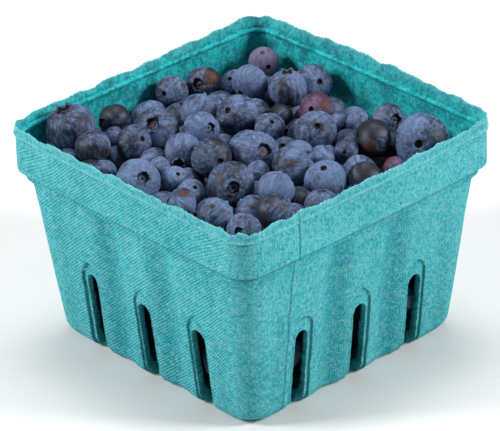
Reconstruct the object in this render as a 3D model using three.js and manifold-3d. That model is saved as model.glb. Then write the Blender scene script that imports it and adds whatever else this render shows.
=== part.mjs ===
// A square punnet of moulded paper pulp, heaped with blueberries.
// Millimetres, +Z up. The origin lies under the middle of the punnet, on the surface it stands on.

import * as THREE from 'three';
import { mergeVertices } from 'three/addons/utils/BufferGeometryUtils.js';
import Module from 'manifold-3d';

const wasm = await Module();
wasm.setup();

// Driving sizes of the punnet
const punnet = {
  height: 78,
  rimHalf: 57,
  rimCorner: 7.5,
  sideBow: 0.6,
  lipDepth: 3,
  lipWall: 1.4,
  creaseStep: 0.2,
  bandDepth: 16,
  bandHalf: 56.8,
  bandCorner: 8,
  stepHeight: 3.5,
  bodyTopHalf: 54,
  bodyTopCorner: 9.5,
  footHalf: 48,
  footCorner: 8.5,
  footRadius: 5.5,
  footFlat: 3.5,
  wall: 2.3,
  floorWall: 2.2,
  floorRise: 1.8,
  floorSlope: 2,
  ledgeDrop: 0.4,
  stepOffset: 1,
};

// Edge of the rim: torn and uneven, and bent up or down along each side. The lifts are at the
// middle of each side and at the corner after it, from the side facing +X round by +Y.
const rimEdge = {
  tearHeight: 0.25,
  tearWaves: [17, 31, 47],
  lifts: [0, 1, 2.2, 1.2, -0.4, -0.3, 0, 0],
};

// Shallow upright hollows between the slots
const flute = {
  depth: 1.6,
  halfWidth: 9,
  fade: 12,
  atFoot: 0.4,
};

const slot = {
  perSide: 3,
  pitch: 25.6,
  recessWidth: 8.6,
  recessTop: 36.5,
  recessDepth: 1.2,
  openWidth: 4.8,
  openTop: 31,
  openBottom: 3,
  archRise: 0.75,
  archSegments: 2,
  footTurn: 0.75,
  cutMargin: 1,
};

// How finely the solids are divided. Faces closer than the blend to their neighbours' plane are
// joined to them.
const mesh = {
  sides: 4,
  sideSteps: 14,
  cornerSteps: 3,
  wallHeights: [46, 24],
  outerFootSteps: 3,
  innerFootSteps: 2,
  blend: 0.08,
  weld: 1e-4,
};

const { lerp, smoothstep, degToRad } = THREE.MathUtils;
const quarterTurn = Math.PI / 2;
const columns = mesh.sides * (mesh.sideSteps + mesh.cornerSteps);
const bandBottom = punnet.height - punnet.bandDepth;
const bodyTop = bandBottom - punnet.stepHeight;
const floorTop = punnet.floorRise + punnet.floorWall;

// Half width of the body's outer wall at a height between the foot's curve and the band
function bodyHalf(z) {
  const share = (z - punnet.footRadius) / (bodyTop - punnet.footRadius);
  return lerp(punnet.footHalf, punnet.bodyTopHalf, share);
}

// Radius of the body's outer corners at a height
function bodyCorner(z) {
  const share = (z - punnet.footRadius) / (bodyTop - punnet.footRadius);
  return lerp(punnet.footCorner, punnet.bodyTopCorner, share);
}

// Depth of the hollows at a place along a side, 0 to 1
function fluteShape(along) {
  let depth = 0;
  for (const middle of [-slot.pitch / 2, slot.pitch / 2]) {
    const offset = (along - middle) / flute.halfWidth;
    if (Math.abs(offset) < 1) depth += Math.cos(offset * quarterTurn) ** 2;
  }
  return depth;
}

// How fully the hollows are formed at a height
function fluteShare(z) {
  const below = smoothstep(bodyTop + punnet.stepOffset - z, 0, flute.fade);
  const above = smoothstep(z, 0, flute.fade);
  return below * above;
}

// Height of the torn edge above the level rim
function rimLift(column) {
  const turn = (2 * Math.PI * column) / columns;
  const tear = rimEdge.tearWaves.reduce((sum, waves) => sum + Math.sin(waves * turn + waves), 0);
  const count = rimEdge.lifts.length;
  const place = ((column - mesh.sideSteps / 2) / columns) * count + count;
  const before = rimEdge.lifts[Math.floor(place) % count];
  const after = rimEdge.lifts[Math.ceil(place) % count];
  return rimEdge.tearHeight * tear + lerp(before, after, smoothstep(place % 1, 0, 1));
}

// One closed ring of points: a rounded square with slightly bowed sides
function ringPoints({ z, half, corner, hollow = 0, torn = 0 }) {
  const points = [];
  const straight = half - corner;
  const add = (x, y, side) => {
    const turn = side * quarterTurn;
    const lift = torn * rimLift(points.length);
    points.push([
      x * Math.cos(turn) - y * Math.sin(turn),
      x * Math.sin(turn) + y * Math.cos(turn),
      z + lift,
    ]);
  };
  for (let side = 0; side < mesh.sides; side += 1) {
    for (let step = 0; step < mesh.sideSteps; step += 1) {
      const share = (2 * step) / mesh.sideSteps - 1;
      const along = straight * share;
      const bow = punnet.sideBow * (1 - share * share);
      add(half + bow - hollow * flute.depth * fluteShape(along), along, side);
    }
    for (let step = 0; step < mesh.cornerSteps; step += 1) {
      const angle = (quarterTurn * step) / mesh.cornerSteps;
      add(straight + corner * Math.cos(angle), straight + corner * Math.sin(angle), side);
    }
  }
  return points;
}

// Rounding between wall and foot, as stations from the wall down to the flat
function footStations(half, corner, radius, bottom, steps) {
  const stations = [];
  for (let step = 0; step <= steps; step += 1) {
    const angle = (quarterTurn * step) / steps;
    stations.push({
      z: bottom + radius * (1 - Math.sin(angle)),
      half: half - radius * (1 - Math.cos(angle)),
      corner,
      hollow: flute.atFoot * (1 - step / steps),
    });
  }
  return stations;
}

// Stations of the tapered body wall, inset from its outer face
function wallStations(heights, inset) {
  return heights.map((z) => ({
    z,
    half: bodyHalf(z) - inset,
    corner: bodyCorner(z) - inset,
    hollow: fluteShare(z),
  }));
}

// Stations of the outside, from the rim down to the raised floor
function outsideStations() {
  const { height, rimHalf, rimCorner, footHalf, footCorner, footRadius } = punnet;
  const flatHalf = footHalf - footRadius - punnet.footFlat;
  const flatCorner = footCorner - punnet.footFlat;
  return [
    { z: height, half: rimHalf, corner: rimCorner, torn: 1 },
    { z: height - punnet.lipDepth, half: rimHalf + punnet.creaseStep, corner: rimCorner },
    { z: bandBottom, half: punnet.bandHalf, corner: punnet.bandCorner },
    ...wallStations([bodyTop, ...mesh.wallHeights], 0),
    ...footStations(footHalf, footCorner, footRadius, 0, mesh.outerFootSteps),
    { z: 0, half: flatHalf, corner: flatCorner },
    { z: punnet.floorRise, half: flatHalf - punnet.floorSlope * punnet.floorRise, corner: flatCorner },
  ];
}

// Stations of the inside, from the rim down to the floor
function insideStations() {
  const { height, wall, stepOffset } = punnet;
  const lip = { half: punnet.rimHalf - punnet.lipWall, corner: punnet.rimCorner - punnet.lipWall };
  const band = { half: punnet.bandHalf - wall, corner: punnet.bandCorner - wall };
  const foot = [punnet.footHalf - wall, punnet.footCorner - wall, punnet.footRadius - wall, floorTop];
  const ledge = height - punnet.lipDepth;
  return [
    { z: height, torn: 1, ...lip },
    { z: ledge, ...lip },
    { z: ledge - punnet.ledgeDrop, ...band },
    { z: bandBottom - stepOffset, ...band },
    ...wallStations([bodyTop - stepOffset, ...mesh.wallHeights], wall),
    ...footStations(...foot, mesh.innerFootSteps),
  ];
}

// A closed solid through rings of points, closed at both ends on a middle point
function loft(rings, startMiddle, endMiddle) {
  const count = rings[0].length;
  const positions = [startMiddle, ...rings.flat(), endMiddle];
  const index = [];
  const at = (ring, column) => 1 + ring * count + (column % count);
  for (let column = 0; column < count; column += 1) {
    index.push(0, at(0, column + 1), at(0, column));
    for (let ring = 0; ring + 1 < rings.length; ring += 1) {
      const [a, b] = [at(ring, column), at(ring, column + 1)];
      const [c, d] = [at(ring + 1, column), at(ring + 1, column + 1)];
      index.push(a, b, d, a, d, c);
    }
    index.push(positions.length - 1, at(rings.length - 1, column), at(rings.length - 1, column + 1));
  }
  const geometry = new THREE.BufferGeometry();
  geometry.setAttribute('position', new THREE.Float32BufferAttribute(positions.flat(), 3));
  geometry.setIndex(index);
  return geometry;
}

// A closed surface as a solid that can be cut and joined
function toSolid(geometry) {
  const bare = geometry.clone();
  bare.deleteAttribute('normal');
  bare.deleteAttribute('uv');
  const merged = mergeVertices(bare, mesh.weld);
  return new wasm.Manifold(new wasm.Mesh({
    numProp: 3,
    vertProperties: new Float32Array(merged.attributes.position.array),
    triVerts: new Uint32Array(merged.index.array),
  }));
}

// The surface of a solid
function toGeometry(solid) {
  const { vertProperties, triVerts } = solid.simplify(mesh.blend).getMesh();
  const geometry = new THREE.BufferGeometry();
  geometry.setAttribute('position', new THREE.BufferAttribute(new Float32Array(vertProperties), 3));
  geometry.setIndex(new THREE.BufferAttribute(new Uint32Array(triVerts), 1));
  geometry.computeVertexNormals();
  return geometry;
}

// Upright arched outline, drawn with x along the side and y up
function archShape(width, bottom, top) {
  const rise = width * slot.archRise;
  const shape = new THREE.Shape();
  shape.moveTo(-width / 2, bottom);
  shape.lineTo(width / 2, bottom);
  shape.lineTo(width / 2, top - rise);
  shape.absellipse(0, top - rise, width / 2, rise, 0, Math.PI, false, 0);
  shape.closePath();
  return shape;
}

// Puts a shape drawn with x along the side, y up and z outwards on the side facing +X
function faceOutwards(geometry) {
  return geometry.rotateX(quarterTurn).rotateZ(quarterTurn);
}

// The room in front of the recess's back, drawn with x outwards and y up
function recessRoom() {
  const { recessDepth, recessTop, recessWidth, cutMargin } = slot;
  const { footHalf, footRadius, sideBow } = punnet;
  const outside = punnet.rimHalf + cutMargin;
  const top = recessTop + cutMargin;
  const shape = new THREE.Shape();
  shape.moveTo(outside, top);
  shape.lineTo(bodyHalf(top) + sideBow - recessDepth, top);
  shape.lineTo(footHalf + sideBow - recessDepth, footRadius);
  const arc = [footRadius - recessDepth, 0, -quarterTurn * slot.footTurn, true];
  shape.absarc(footHalf + sideBow - footRadius, footRadius, ...arc);
  shape.lineTo(footHalf - footRadius + cutMargin, -cutMargin);
  shape.lineTo(outside, -cutMargin);
  shape.closePath();
  const depth = recessWidth + 2 * cutMargin;
  const settings = { depth, bevelEnabled: false, curveSegments: slot.archSegments };
  return new THREE.ExtrudeGeometry(shape, settings).translate(0, 0, -depth / 2).rotateX(quarterTurn);
}

// An arched bar that goes through the side facing +X, at the middle of the side
function archedBar(width, bottom, top) {
  const start = punnet.footHalf - punnet.footRadius + slot.cutMargin;
  const depth = punnet.rimHalf - start;
  const settings = { depth, bevelEnabled: false, curveSegments: slot.archSegments };
  const bar = new THREE.ExtrudeGeometry(archShape(width, bottom, top), settings);
  return toSolid(faceOutwards(bar.translate(0, 0, start)));
}

// What one slot takes out of the side facing +X, at the middle of the side
function slotCutter() {
  const recess = archedBar(slot.recessWidth, -slot.cutMargin, slot.recessTop);
  const opening = archedBar(slot.openWidth, slot.openBottom, slot.openTop);
  return recess.intersect(toSolid(recessRoom())).add(opening);
}

// Place of a slot along its side
function slotPlace(number) {
  return (number - (slot.perSide - 1) / 2) * slot.pitch;
}

// The pulp shell: one piece, with its slots cut through
function makePunnet() {
  const rings = [...outsideStations().reverse(), ...insideStations()].map(ringPoints);
  let solid = toSolid(loft(rings, [0, 0, punnet.floorRise], [0, 0, floorTop]));
  const cutter = slotCutter();
  for (let side = 0; side < mesh.sides; side += 1) {
    for (let number = 0; number < slot.perSide; number += 1) {
      const placed = cutter.translate([0, slotPlace(number), 0]);
      solid = solid.subtract(placed.rotate([0, 0, (side * 360) / mesh.sides]));
    }
  }
  return toGeometry(solid);
}

// The picture that the places of the showing berries are read from: 500 by 431 pixels, with the
// punnet's corner at +X and -Y nearest. Angles in degrees, lengths in millimetres.
const picture = {
  azimuth: 47.7,
  elevation: 28.7,
  roll: -1.9,
  distance: 1200,
  focalPixels: 3625,
  middleU: 250,
  middleV: 215.5,
  aimAcross: -1.1,
  aimHeight: 42.6,
};

// The berries that show: where the middle of each lies in the picture, how wide it is, and how far
// it lies behind the top layer
const shownBerries = [
  { u: 71, v: 127, across: 16.6 },
  { u: 115, v: 121, across: 11.3 },
  { u: 93, v: 147, across: 12.1 },
  { u: 114, v: 139, across: 8.6, behind: 8 },
  { u: 157, v: 129, across: 14.9 },
  { u: 134.5, v: 143, across: 11.8 },
  { u: 171, v: 91.5, across: 11.3 },
  { u: 204, v: 84, across: 12.2 },
  { u: 236, v: 85, across: 10.8, behind: 5 },
  { u: 250, v: 83, across: 12.9 },
  { u: 264, v: 62.5, across: 11.3 },
  { u: 288, v: 89, across: 13.5 },
  { u: 313, v: 84.5, across: 13.8 },
  { u: 317, v: 110, across: 12 },
  { u: 316, v: 131.5, across: 14.2 },
  { u: 236.5, v: 115, across: 14.2 },
  { u: 200, v: 112, across: 12.7 },
  { u: 201, v: 129, across: 11.9 },
  { u: 270, v: 128, across: 10.2, behind: 3 },
  { u: 281, v: 116, across: 8.6, behind: 8 },
  { u: 183.5, v: 151, across: 12.6 },
  { u: 211, v: 157.5, across: 13.5 },
  { u: 257, v: 154.5, across: 15.2 },
  { u: 292, v: 167, across: 14.2 },
  { u: 346.5, v: 151, across: 8, behind: 4 },
  { u: 320.5, v: 159, across: 9.3, behind: 4 },
  { u: 359, v: 124.5, across: 9.2, behind: 3 },
  { u: 372.5, v: 138, across: 13.4 },
  { u: 388, v: 120, across: 11.1 },
  { u: 421, v: 141, across: 18.3 },
  { u: 395, v: 170, across: 8.7 },
  { u: 364.5, v: 179, across: 11.7 },
  { u: 326, v: 180, across: 13.5 },
  { u: 322, v: 205, across: 11.7 },
  { u: 276, v: 189.5, across: 12.1 },
  { u: 275, v: 214, across: 13.3 },
  { u: 231, v: 185, across: 15.5 },
  { u: 244, v: 230, across: 10.8 },
  { u: 244.5, v: 220, across: 7.6, behind: 5 },
  { u: 215.5, v: 217, across: 12.4 },
  { u: 180.5, v: 205, across: 11.2 },
  { u: 191, v: 192.5, across: 9.4, behind: 3 },
  { u: 174.5, v: 179, across: 9.1, behind: 3 },
  { u: 159.5, v: 169, across: 8.4, behind: 4 },
  { u: 138, v: 182, across: 14.8 },
  { u: 102.5, v: 172.5, across: 9.4 },
  { u: 215, v: 106, across: 8, behind: 6 },
  { u: 337.5, v: 123, across: 7.9, behind: 6 },
  { u: 258, v: 173, across: 8.4, behind: 6 },
];

// The heap: how its top lies, how close its berries come, and the core inside it
const heap = {
  middleHeight: 72,
  nearRise: 3.5,
  edgeFall: 4,
  edgePower: 4,
  clearance: 0.45,
  touch: 0.95,
  levelPasses: 6,
  settlePasses: 300,
  depthStep: 0.25,
  depthReach: 30,
  fineRadius: 4.6,
};

// Berries that lie between and under the showing ones, the widest first
const filling = {
  tries: 9000,
  across: [13, 8.5],
  drop: [2.5, 6.5],
  edgeFall: 6,
  edgePower: 6,
  touch: 0.86,
  cover: 2.6,
};

// Berries against the wall behind the slots
const slotBerry = {
  height: [14, 19],
  across: [12, 15],
  aside: [-2, 2],
};

const core = {
  inset: 3,
  floorInset: 3,
  drop: 4,
  corner: 6.5,
  heights: [12, 26, 40, 54],
  topShares: [1, 0.75, 0.5, 0.25],
};

// Height of the middles of the top layer of berries, falling towards the walls
function heapHeight(x, y) {
  const near = (x - y) / (2 * punnet.rimHalf);
  const out = Math.max(Math.abs(x), Math.abs(y)) / punnet.rimHalf;
  return heap.middleHeight + heap.nearRise * near - heap.edgeFall * out ** heap.edgePower;
}

// Half width of the room inside the walls at a height
function roomHalf(z) {
  const band = punnet.bandHalf - punnet.wall;
  const body = bodyHalf(Math.min(z, bodyTop)) - punnet.wall;
  return lerp(body, band, smoothstep(z, bodyTop, bandBottom + punnet.lipDepth));
}

// How far a berry at a place is from the walls, less than zero where it would cross them
function wallGap(place, radius) {
  const corner = punnet.footCorner - punnet.wall;
  const half = roomHalf(place.z) - flute.depth * fluteShare(place.z) - corner;
  const [x, y] = [Math.abs(place.x) - half, Math.abs(place.y) - half];
  const outside = Math.hypot(Math.max(x, 0), Math.max(y, 0)) + Math.min(Math.max(x, y), 0);
  return corner - outside - radius - heap.clearance;
}

// Axes of the picture and the point that it is seen from
function makeSight() {
  const azimuth = degToRad(picture.azimuth);
  const elevation = degToRad(picture.elevation);
  const back = new THREE.Vector3(
    Math.sin(azimuth) * Math.cos(elevation),
    -Math.cos(azimuth) * Math.cos(elevation),
    Math.sin(elevation),
  );
  const right = new THREE.Vector3(0, 0, 1).cross(back).normalize();
  const up = back.clone().cross(right);
  const eye = right.clone().multiplyScalar(picture.aimAcross);
  eye.z += picture.aimHeight;
  eye.addScaledVector(back, picture.distance);
  return { back, right, up, eye };
}

const sight = makeSight();

// Direction of the line of sight through a place in the picture
function sightLine(u, v) {
  const [cosine, sine] = [Math.cos(degToRad(picture.roll)), Math.sin(degToRad(picture.roll))];
  const across = (u - picture.middleU) * cosine + (v - picture.middleV) * sine;
  const down = (v - picture.middleV) * cosine - (u - picture.middleU) * sine;
  return sight.back.clone().negate()
    .addScaledVector(sight.right, across / picture.focalPixels)
    .addScaledVector(sight.up, -down / picture.focalPixels);
}

// Middle of a berry at its depth along its line of sight
function placeAt(berry) {
  return sight.eye.clone().addScaledVector(berry.line, berry.depth);
}

// Nearest depth to the wanted one at which the berry is clear of the walls
function clearDepth(berry, wanted) {
  for (let move = 0; move < heap.depthReach; move += heap.depthStep) {
    for (const depth of [wanted - move, wanted + move]) {
      if (wallGap(placeAt({ ...berry, depth }), berry.radius) >= 0) return depth;
    }
  }
  return wanted;
}

// A showing berry on the heap's top layer, along its own line of sight
function layOnHeap({ u, v, across, behind = 0 }) {
  const berry = { line: sightLine(u, v), radius: across / 2, depth: picture.distance };
  for (let pass = 0; pass < heap.levelPasses; pass += 1) {
    const place = placeAt(berry);
    berry.depth += (heapHeight(place.x, place.y) - place.z) / berry.line.z;
  }
  berry.depth = clearDepth(berry, berry.depth + behind);
  berry.first = berry.depth;
  return berry;
}

// How far one place is behind another and aside from it, as seen in the picture
function sightGap(front, rear) {
  const apart = rear.clone().sub(front);
  const behind = -apart.dot(sight.back);
  const aside = Math.sqrt(Math.max(apart.lengthSq() - behind * behind, 0));
  return { behind, aside };
}

// Moves two overlapping berries apart along their lines of sight
function partPair(a, b) {
  const { aside } = sightGap(placeAt(a), placeAt(b));
  const reach = heap.touch * (a.radius + b.radius);
  if (aside >= reach) return;
  const needed = Math.sqrt(reach * reach - aside * aside);
  const lack = needed - Math.abs(b.depth - a.depth);
  if (lack <= 0) return;
  const order = b.first >= a.first ? 1 : -1;
  a.depth -= (order * lack) / 2;
  b.depth += (order * lack) / 2;
}

// The showing berries, laid on the heap and moved until none crosses another or a wall
function layShownBerries() {
  const berries = shownBerries.map(layOnHeap);
  for (let pass = 0; pass < heap.settlePasses; pass += 1) {
    berries.forEach((a, index) => berries.slice(index + 1).forEach((b) => partPair(a, b)));
    for (const berry of berries) berry.depth = clearDepth(berry, berry.depth);
  }
  return berries.map((berry) => ({ place: placeAt(berry), radius: berry.radius }));
}

// Evenly scattered numbers between 0 and 1, in lanes that don't repeat each other
function scatter(index, lane) {
  const root = 1.1673039782614187;
  return (index / root ** (lane + 1)) % 1;
}

// Whether a filling berry keeps clear of the others and leaves the showing ones in sight
function fillFits(berry, shown, filled) {
  if (wallGap(berry.place, berry.radius) < 0) return false;
  const crosses = (other) => (
    berry.place.distanceTo(other.place) < filling.touch * (berry.radius + other.radius)
  );
  if (shown.some(crosses) || filled.some(crosses)) return false;
  return !shown.some((other) => {
    const { behind, aside } = sightGap(berry.place, other.place);
    return behind > 0 && aside < other.radius + berry.radius - filling.cover;
  });
}

// Berries tried at evenly scattered places, each kept where it fits
function layFillingBerries(shown) {
  const filled = [];
  for (let index = 1; index < filling.tries; index += 1) {
    const x = punnet.bodyTopHalf * (2 * scatter(index, 0) - 1);
    const y = punnet.bodyTopHalf * (2 * scatter(index, 1) - 1);
    const out = Math.max(Math.abs(x), Math.abs(y)) / punnet.bodyTopHalf;
    const drop = lerp(...filling.drop, scatter(index, 2)) + filling.edgeFall * out ** filling.edgePower;
    const place = new THREE.Vector3(x, y, heapHeight(x, y) - drop);
    const berry = { place, radius: lerp(...filling.across, index / filling.tries) / 2 };
    if (fillFits(berry, shown, filled)) filled.push(berry);
  }
  return filled;
}

// One berry against the wall behind each slot
function laySlotBerries() {
  const berries = [];
  for (let side = 0; side < mesh.sides; side += 1) {
    for (let number = 0; number < slot.perSide; number += 1) {
      const order = side * slot.perSide + number + 1;
      const z = lerp(...slotBerry.height, scatter(order, 0));
      const radius = lerp(...slotBerry.across, scatter(order, 1)) / 2;
      const along = slotPlace(number) + lerp(...slotBerry.aside, scatter(order, 2));
      const out = roomHalf(z - radius / 2) - radius - heap.clearance;
      const place = new THREE.Vector3(out, along, z);
      place.applyAxisAngle(new THREE.Vector3(0, 0, 1), side * quarterTurn);
      berries.push({ place, radius });
    }
  }
  return berries;
}

// A coarse rounded square with one point at the middle of each side and three about each corner
function coreRing({ z, half, corner }) {
  const straight = half - corner;
  const diagonal = straight + corner * Math.SQRT1_2;
  const points = [];
  for (let side = 0; side < mesh.sides; side += 1) {
    const turn = new THREE.Matrix4().makeRotationZ(side * quarterTurn);
    for (const [x, y] of [[half, -straight], [half, 0], [half, straight], [diagonal, diagonal]]) {
      points.push(new THREE.Vector3(x, y, z).applyMatrix4(turn).toArray());
    }
  }
  return points;
}

// The inside of the heap, clear of the walls, with its top just under the middles of the berries
function makeCore() {
  const low = floorTop + heap.clearance;
  const coreHalf = (z) => roomHalf(z) - core.inset;
  const topHalf = coreHalf(core.heights[core.heights.length - 1]);
  const base = { z: low, half: coreHalf(punnet.footRadius) - core.floorInset, corner: core.corner };
  const sides = core.heights.map((z) => ({ z, half: coreHalf(z), corner: core.corner }));
  const rings = [base, ...sides].map(coreRing);
  for (const share of core.topShares) {
    const ring = coreRing({ z: 0, half: topHalf * share, corner: core.corner * share });
    rings.push(ring.map(([x, y]) => [x, y, heapHeight(x, y) - core.drop]));
  }
  return loft(rings, [0, 0, low], [0, 0, heapHeight(0, 0) - core.drop]);
}

// A faceted ball, with fewer faces on a small or half hidden berry
function berryBall({ place, radius }, fine) {
  const ball = fine ? new THREE.IcosahedronGeometry(radius, 1) : new THREE.OctahedronGeometry(radius, 1);
  return toSolid(ball.translate(place.x, place.y, place.z));
}

// The heap as one solid: the core with its berries fused on
function makeBerries() {
  const shown = layShownBerries();
  const hidden = [...layFillingBerries(shown), ...laySlotBerries()];
  let solid = toSolid(makeCore());
  for (const berry of shown) solid = solid.add(berryBall(berry, berry.radius > heap.fineRadius));
  for (const berry of hidden) solid = solid.add(berryBall(berry, false));
  return toGeometry(solid);
}

const pulp = new THREE.MeshStandardMaterial({ color: 0x4fb5ae, roughness: 0.9, metalness: 0 });
const basket = new THREE.Mesh(makePunnet(), pulp);
basket.name = 'basket';

const skin = new THREE.MeshStandardMaterial({ color: 0x4a5878, roughness: 0.6, metalness: 0 });
const berries = new THREE.Mesh(makeBerries(), skin);
berries.name = 'berries';

const part = new THREE.Group();
part.add(basket, berries);

export default part;
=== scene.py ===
"""A square punnet of moulded paper pulp, heaped with blueberries.

Metres, +Z up. The origin lies under the middle of the punnet, on the surface it stands on. The two
sides that show face -Y and +X, with the near corner between them.
"""

from __future__ import annotations

import logging
import math
from dataclasses import dataclass, field
from enum import Enum
from itertools import combinations

import bpy
import numpy as np
from mathutils import Matrix, Vector, noise

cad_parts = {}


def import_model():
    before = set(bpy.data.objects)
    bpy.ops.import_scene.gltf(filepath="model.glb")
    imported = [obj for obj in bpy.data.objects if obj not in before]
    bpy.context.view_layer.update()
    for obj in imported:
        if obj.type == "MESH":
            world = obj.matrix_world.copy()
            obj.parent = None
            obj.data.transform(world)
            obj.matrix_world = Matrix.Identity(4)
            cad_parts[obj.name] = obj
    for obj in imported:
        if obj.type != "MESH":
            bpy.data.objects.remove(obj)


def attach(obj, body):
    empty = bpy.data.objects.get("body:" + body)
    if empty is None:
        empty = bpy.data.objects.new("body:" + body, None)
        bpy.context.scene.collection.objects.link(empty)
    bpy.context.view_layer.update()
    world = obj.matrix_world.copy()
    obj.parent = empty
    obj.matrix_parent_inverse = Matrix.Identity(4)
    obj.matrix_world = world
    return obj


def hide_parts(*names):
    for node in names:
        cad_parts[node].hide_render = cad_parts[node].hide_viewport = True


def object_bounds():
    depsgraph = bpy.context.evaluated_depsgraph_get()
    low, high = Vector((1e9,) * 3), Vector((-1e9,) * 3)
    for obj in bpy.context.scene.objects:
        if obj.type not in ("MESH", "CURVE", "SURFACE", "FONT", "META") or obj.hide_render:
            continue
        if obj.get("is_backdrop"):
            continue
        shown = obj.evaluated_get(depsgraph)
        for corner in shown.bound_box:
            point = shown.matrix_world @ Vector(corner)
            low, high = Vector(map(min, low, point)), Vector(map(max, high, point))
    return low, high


LOG = logging.getLogger("punnet")
MM = 0.001
QUARTER = math.pi / 2
SIDES = 4
Array = np.ndarray
Socket = bpy.types.NodeSocket


def lerp(low: float, high: float, share: float) -> float:
    """A value between two others.

    Args:
        low: The value at share 0.
        high: The value at share 1.
        share: How far from low to high.

    Returns:
        The value between them.
    """
    return low + (high - low) * share


def smooth(value: Array | float, low: float, high: float) -> Array | float:
    """A smooth step from 0 at low to 1 at high.

    Args:
        value: Where on the step.
        low: Where the step starts.
        high: Where the step ends.

    Returns:
        The step's height, 0 to 1.
    """
    share = np.clip((value - low) / (high - low), 0.0, 1.0)
    return share * share * (3 - 2 * share)


def scatter(index: int, lane: int) -> float:
    """An evenly scattered number between 0 and 1.

    Args:
        index: Which number of the lane.
        lane: Which lane, so that lanes don't repeat each other.

    Returns:
        The number.
    """
    root = 1.1673039782614187
    return (index / root ** (lane + 1)) % 1


def new_piece(name: str, points: Array, faces: list[tuple[int, ...]]) -> bpy.types.Object:
    """A mesh piece at the origin.

    Args:
        name: The piece's name.
        points: Its vertices in metres.
        faces: Vertex numbers of each face.

    Returns:
        The piece, smooth shaded.
    """
    mesh = bpy.data.meshes.new(name)
    mesh.from_pydata(np.asarray(points).tolist(), [], faces)
    mesh.polygons.foreach_set("use_smooth", [True] * len(mesh.polygons))
    mesh.update()
    piece = bpy.data.objects.new(name, mesh)
    bpy.context.scene.collection.objects.link(piece)
    return piece


def pick(piece: bpy.types.Object) -> None:
    """Makes a piece the only one that operators act on.

    Args:
        piece: The piece to pick.
    """
    bpy.ops.object.select_all(action="DESELECT")
    bpy.context.view_layer.objects.active = piece
    piece.select_set(True)


def points_of(piece: bpy.types.Object) -> Array:
    """The places of a piece's vertices, one row each.

    Args:
        piece: The piece.

    Returns:
        The places in metres.
    """
    places = np.empty(len(piece.data.vertices) * 3)
    piece.data.vertices.foreach_get("co", places)
    return places.reshape(-1, 3)


def normals_of(piece: bpy.types.Object) -> Array:
    """The directions in which a piece's surface faces at its vertices.

    Args:
        piece: The piece.

    Returns:
        One unit vector for each vertex.
    """
    normals = np.empty(len(piece.data.vertices) * 3)
    piece.data.vertices.foreach_get("normal", normals)
    return normals.reshape(-1, 3)


def set_points(piece: bpy.types.Object, places: Array) -> None:
    """Moves a piece's vertices to new places."""
    piece.data.vertices.foreach_set("co", np.asarray(places, np.float32).ravel())
    piece.data.update()


def paint(piece: bpy.types.Object, name: str, values: Array) -> None:
    """Keeps a number or a vector at each vertex for the materials to read.

    Args:
        piece: The piece to paint.
        name: The attribute's name.
        values: One number or three for each vertex.
    """
    kind, key = ("FLOAT", "value") if values.ndim == 1 else ("FLOAT_VECTOR", "vector")
    attribute = piece.data.attributes.new(name, kind, "POINT")
    attribute.data.foreach_set(key, np.asarray(values, np.float32).ravel())


def read_paint(piece: bpy.types.Object, name: str, width: int) -> Array:
    """The values painted on a piece's vertices.

    Args:
        piece: The painted piece.
        name: The attribute's name.
        width: How many numbers each vertex has.

    Returns:
        One row for each vertex.
    """
    values = np.empty(len(piece.data.vertices) * width, np.float32)
    key = "value" if width == 1 else "vector"
    piece.data.attributes[name].data.foreach_get(key, values)
    return values.reshape(-1, width)


def lumps(places: Array, size: float, octaves: int = 2, seed: float = 0.0) -> Array:
    """Uneven lumps, about -1 to 1, at each place.

    Args:
        places: Where to read them, in metres.
        size: How far apart the lumps lie.
        octaves: How many finer layers are added.
        seed: Shifts the whole pattern.

    Returns:
        One height for each place.
    """
    shift = Vector((seed, -seed, 2 * seed))
    rows = (places / size).tolist()
    return np.array([noise.fractal(Vector(row) + shift, 1.0, 2.1, octaves) for row in rows])


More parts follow.
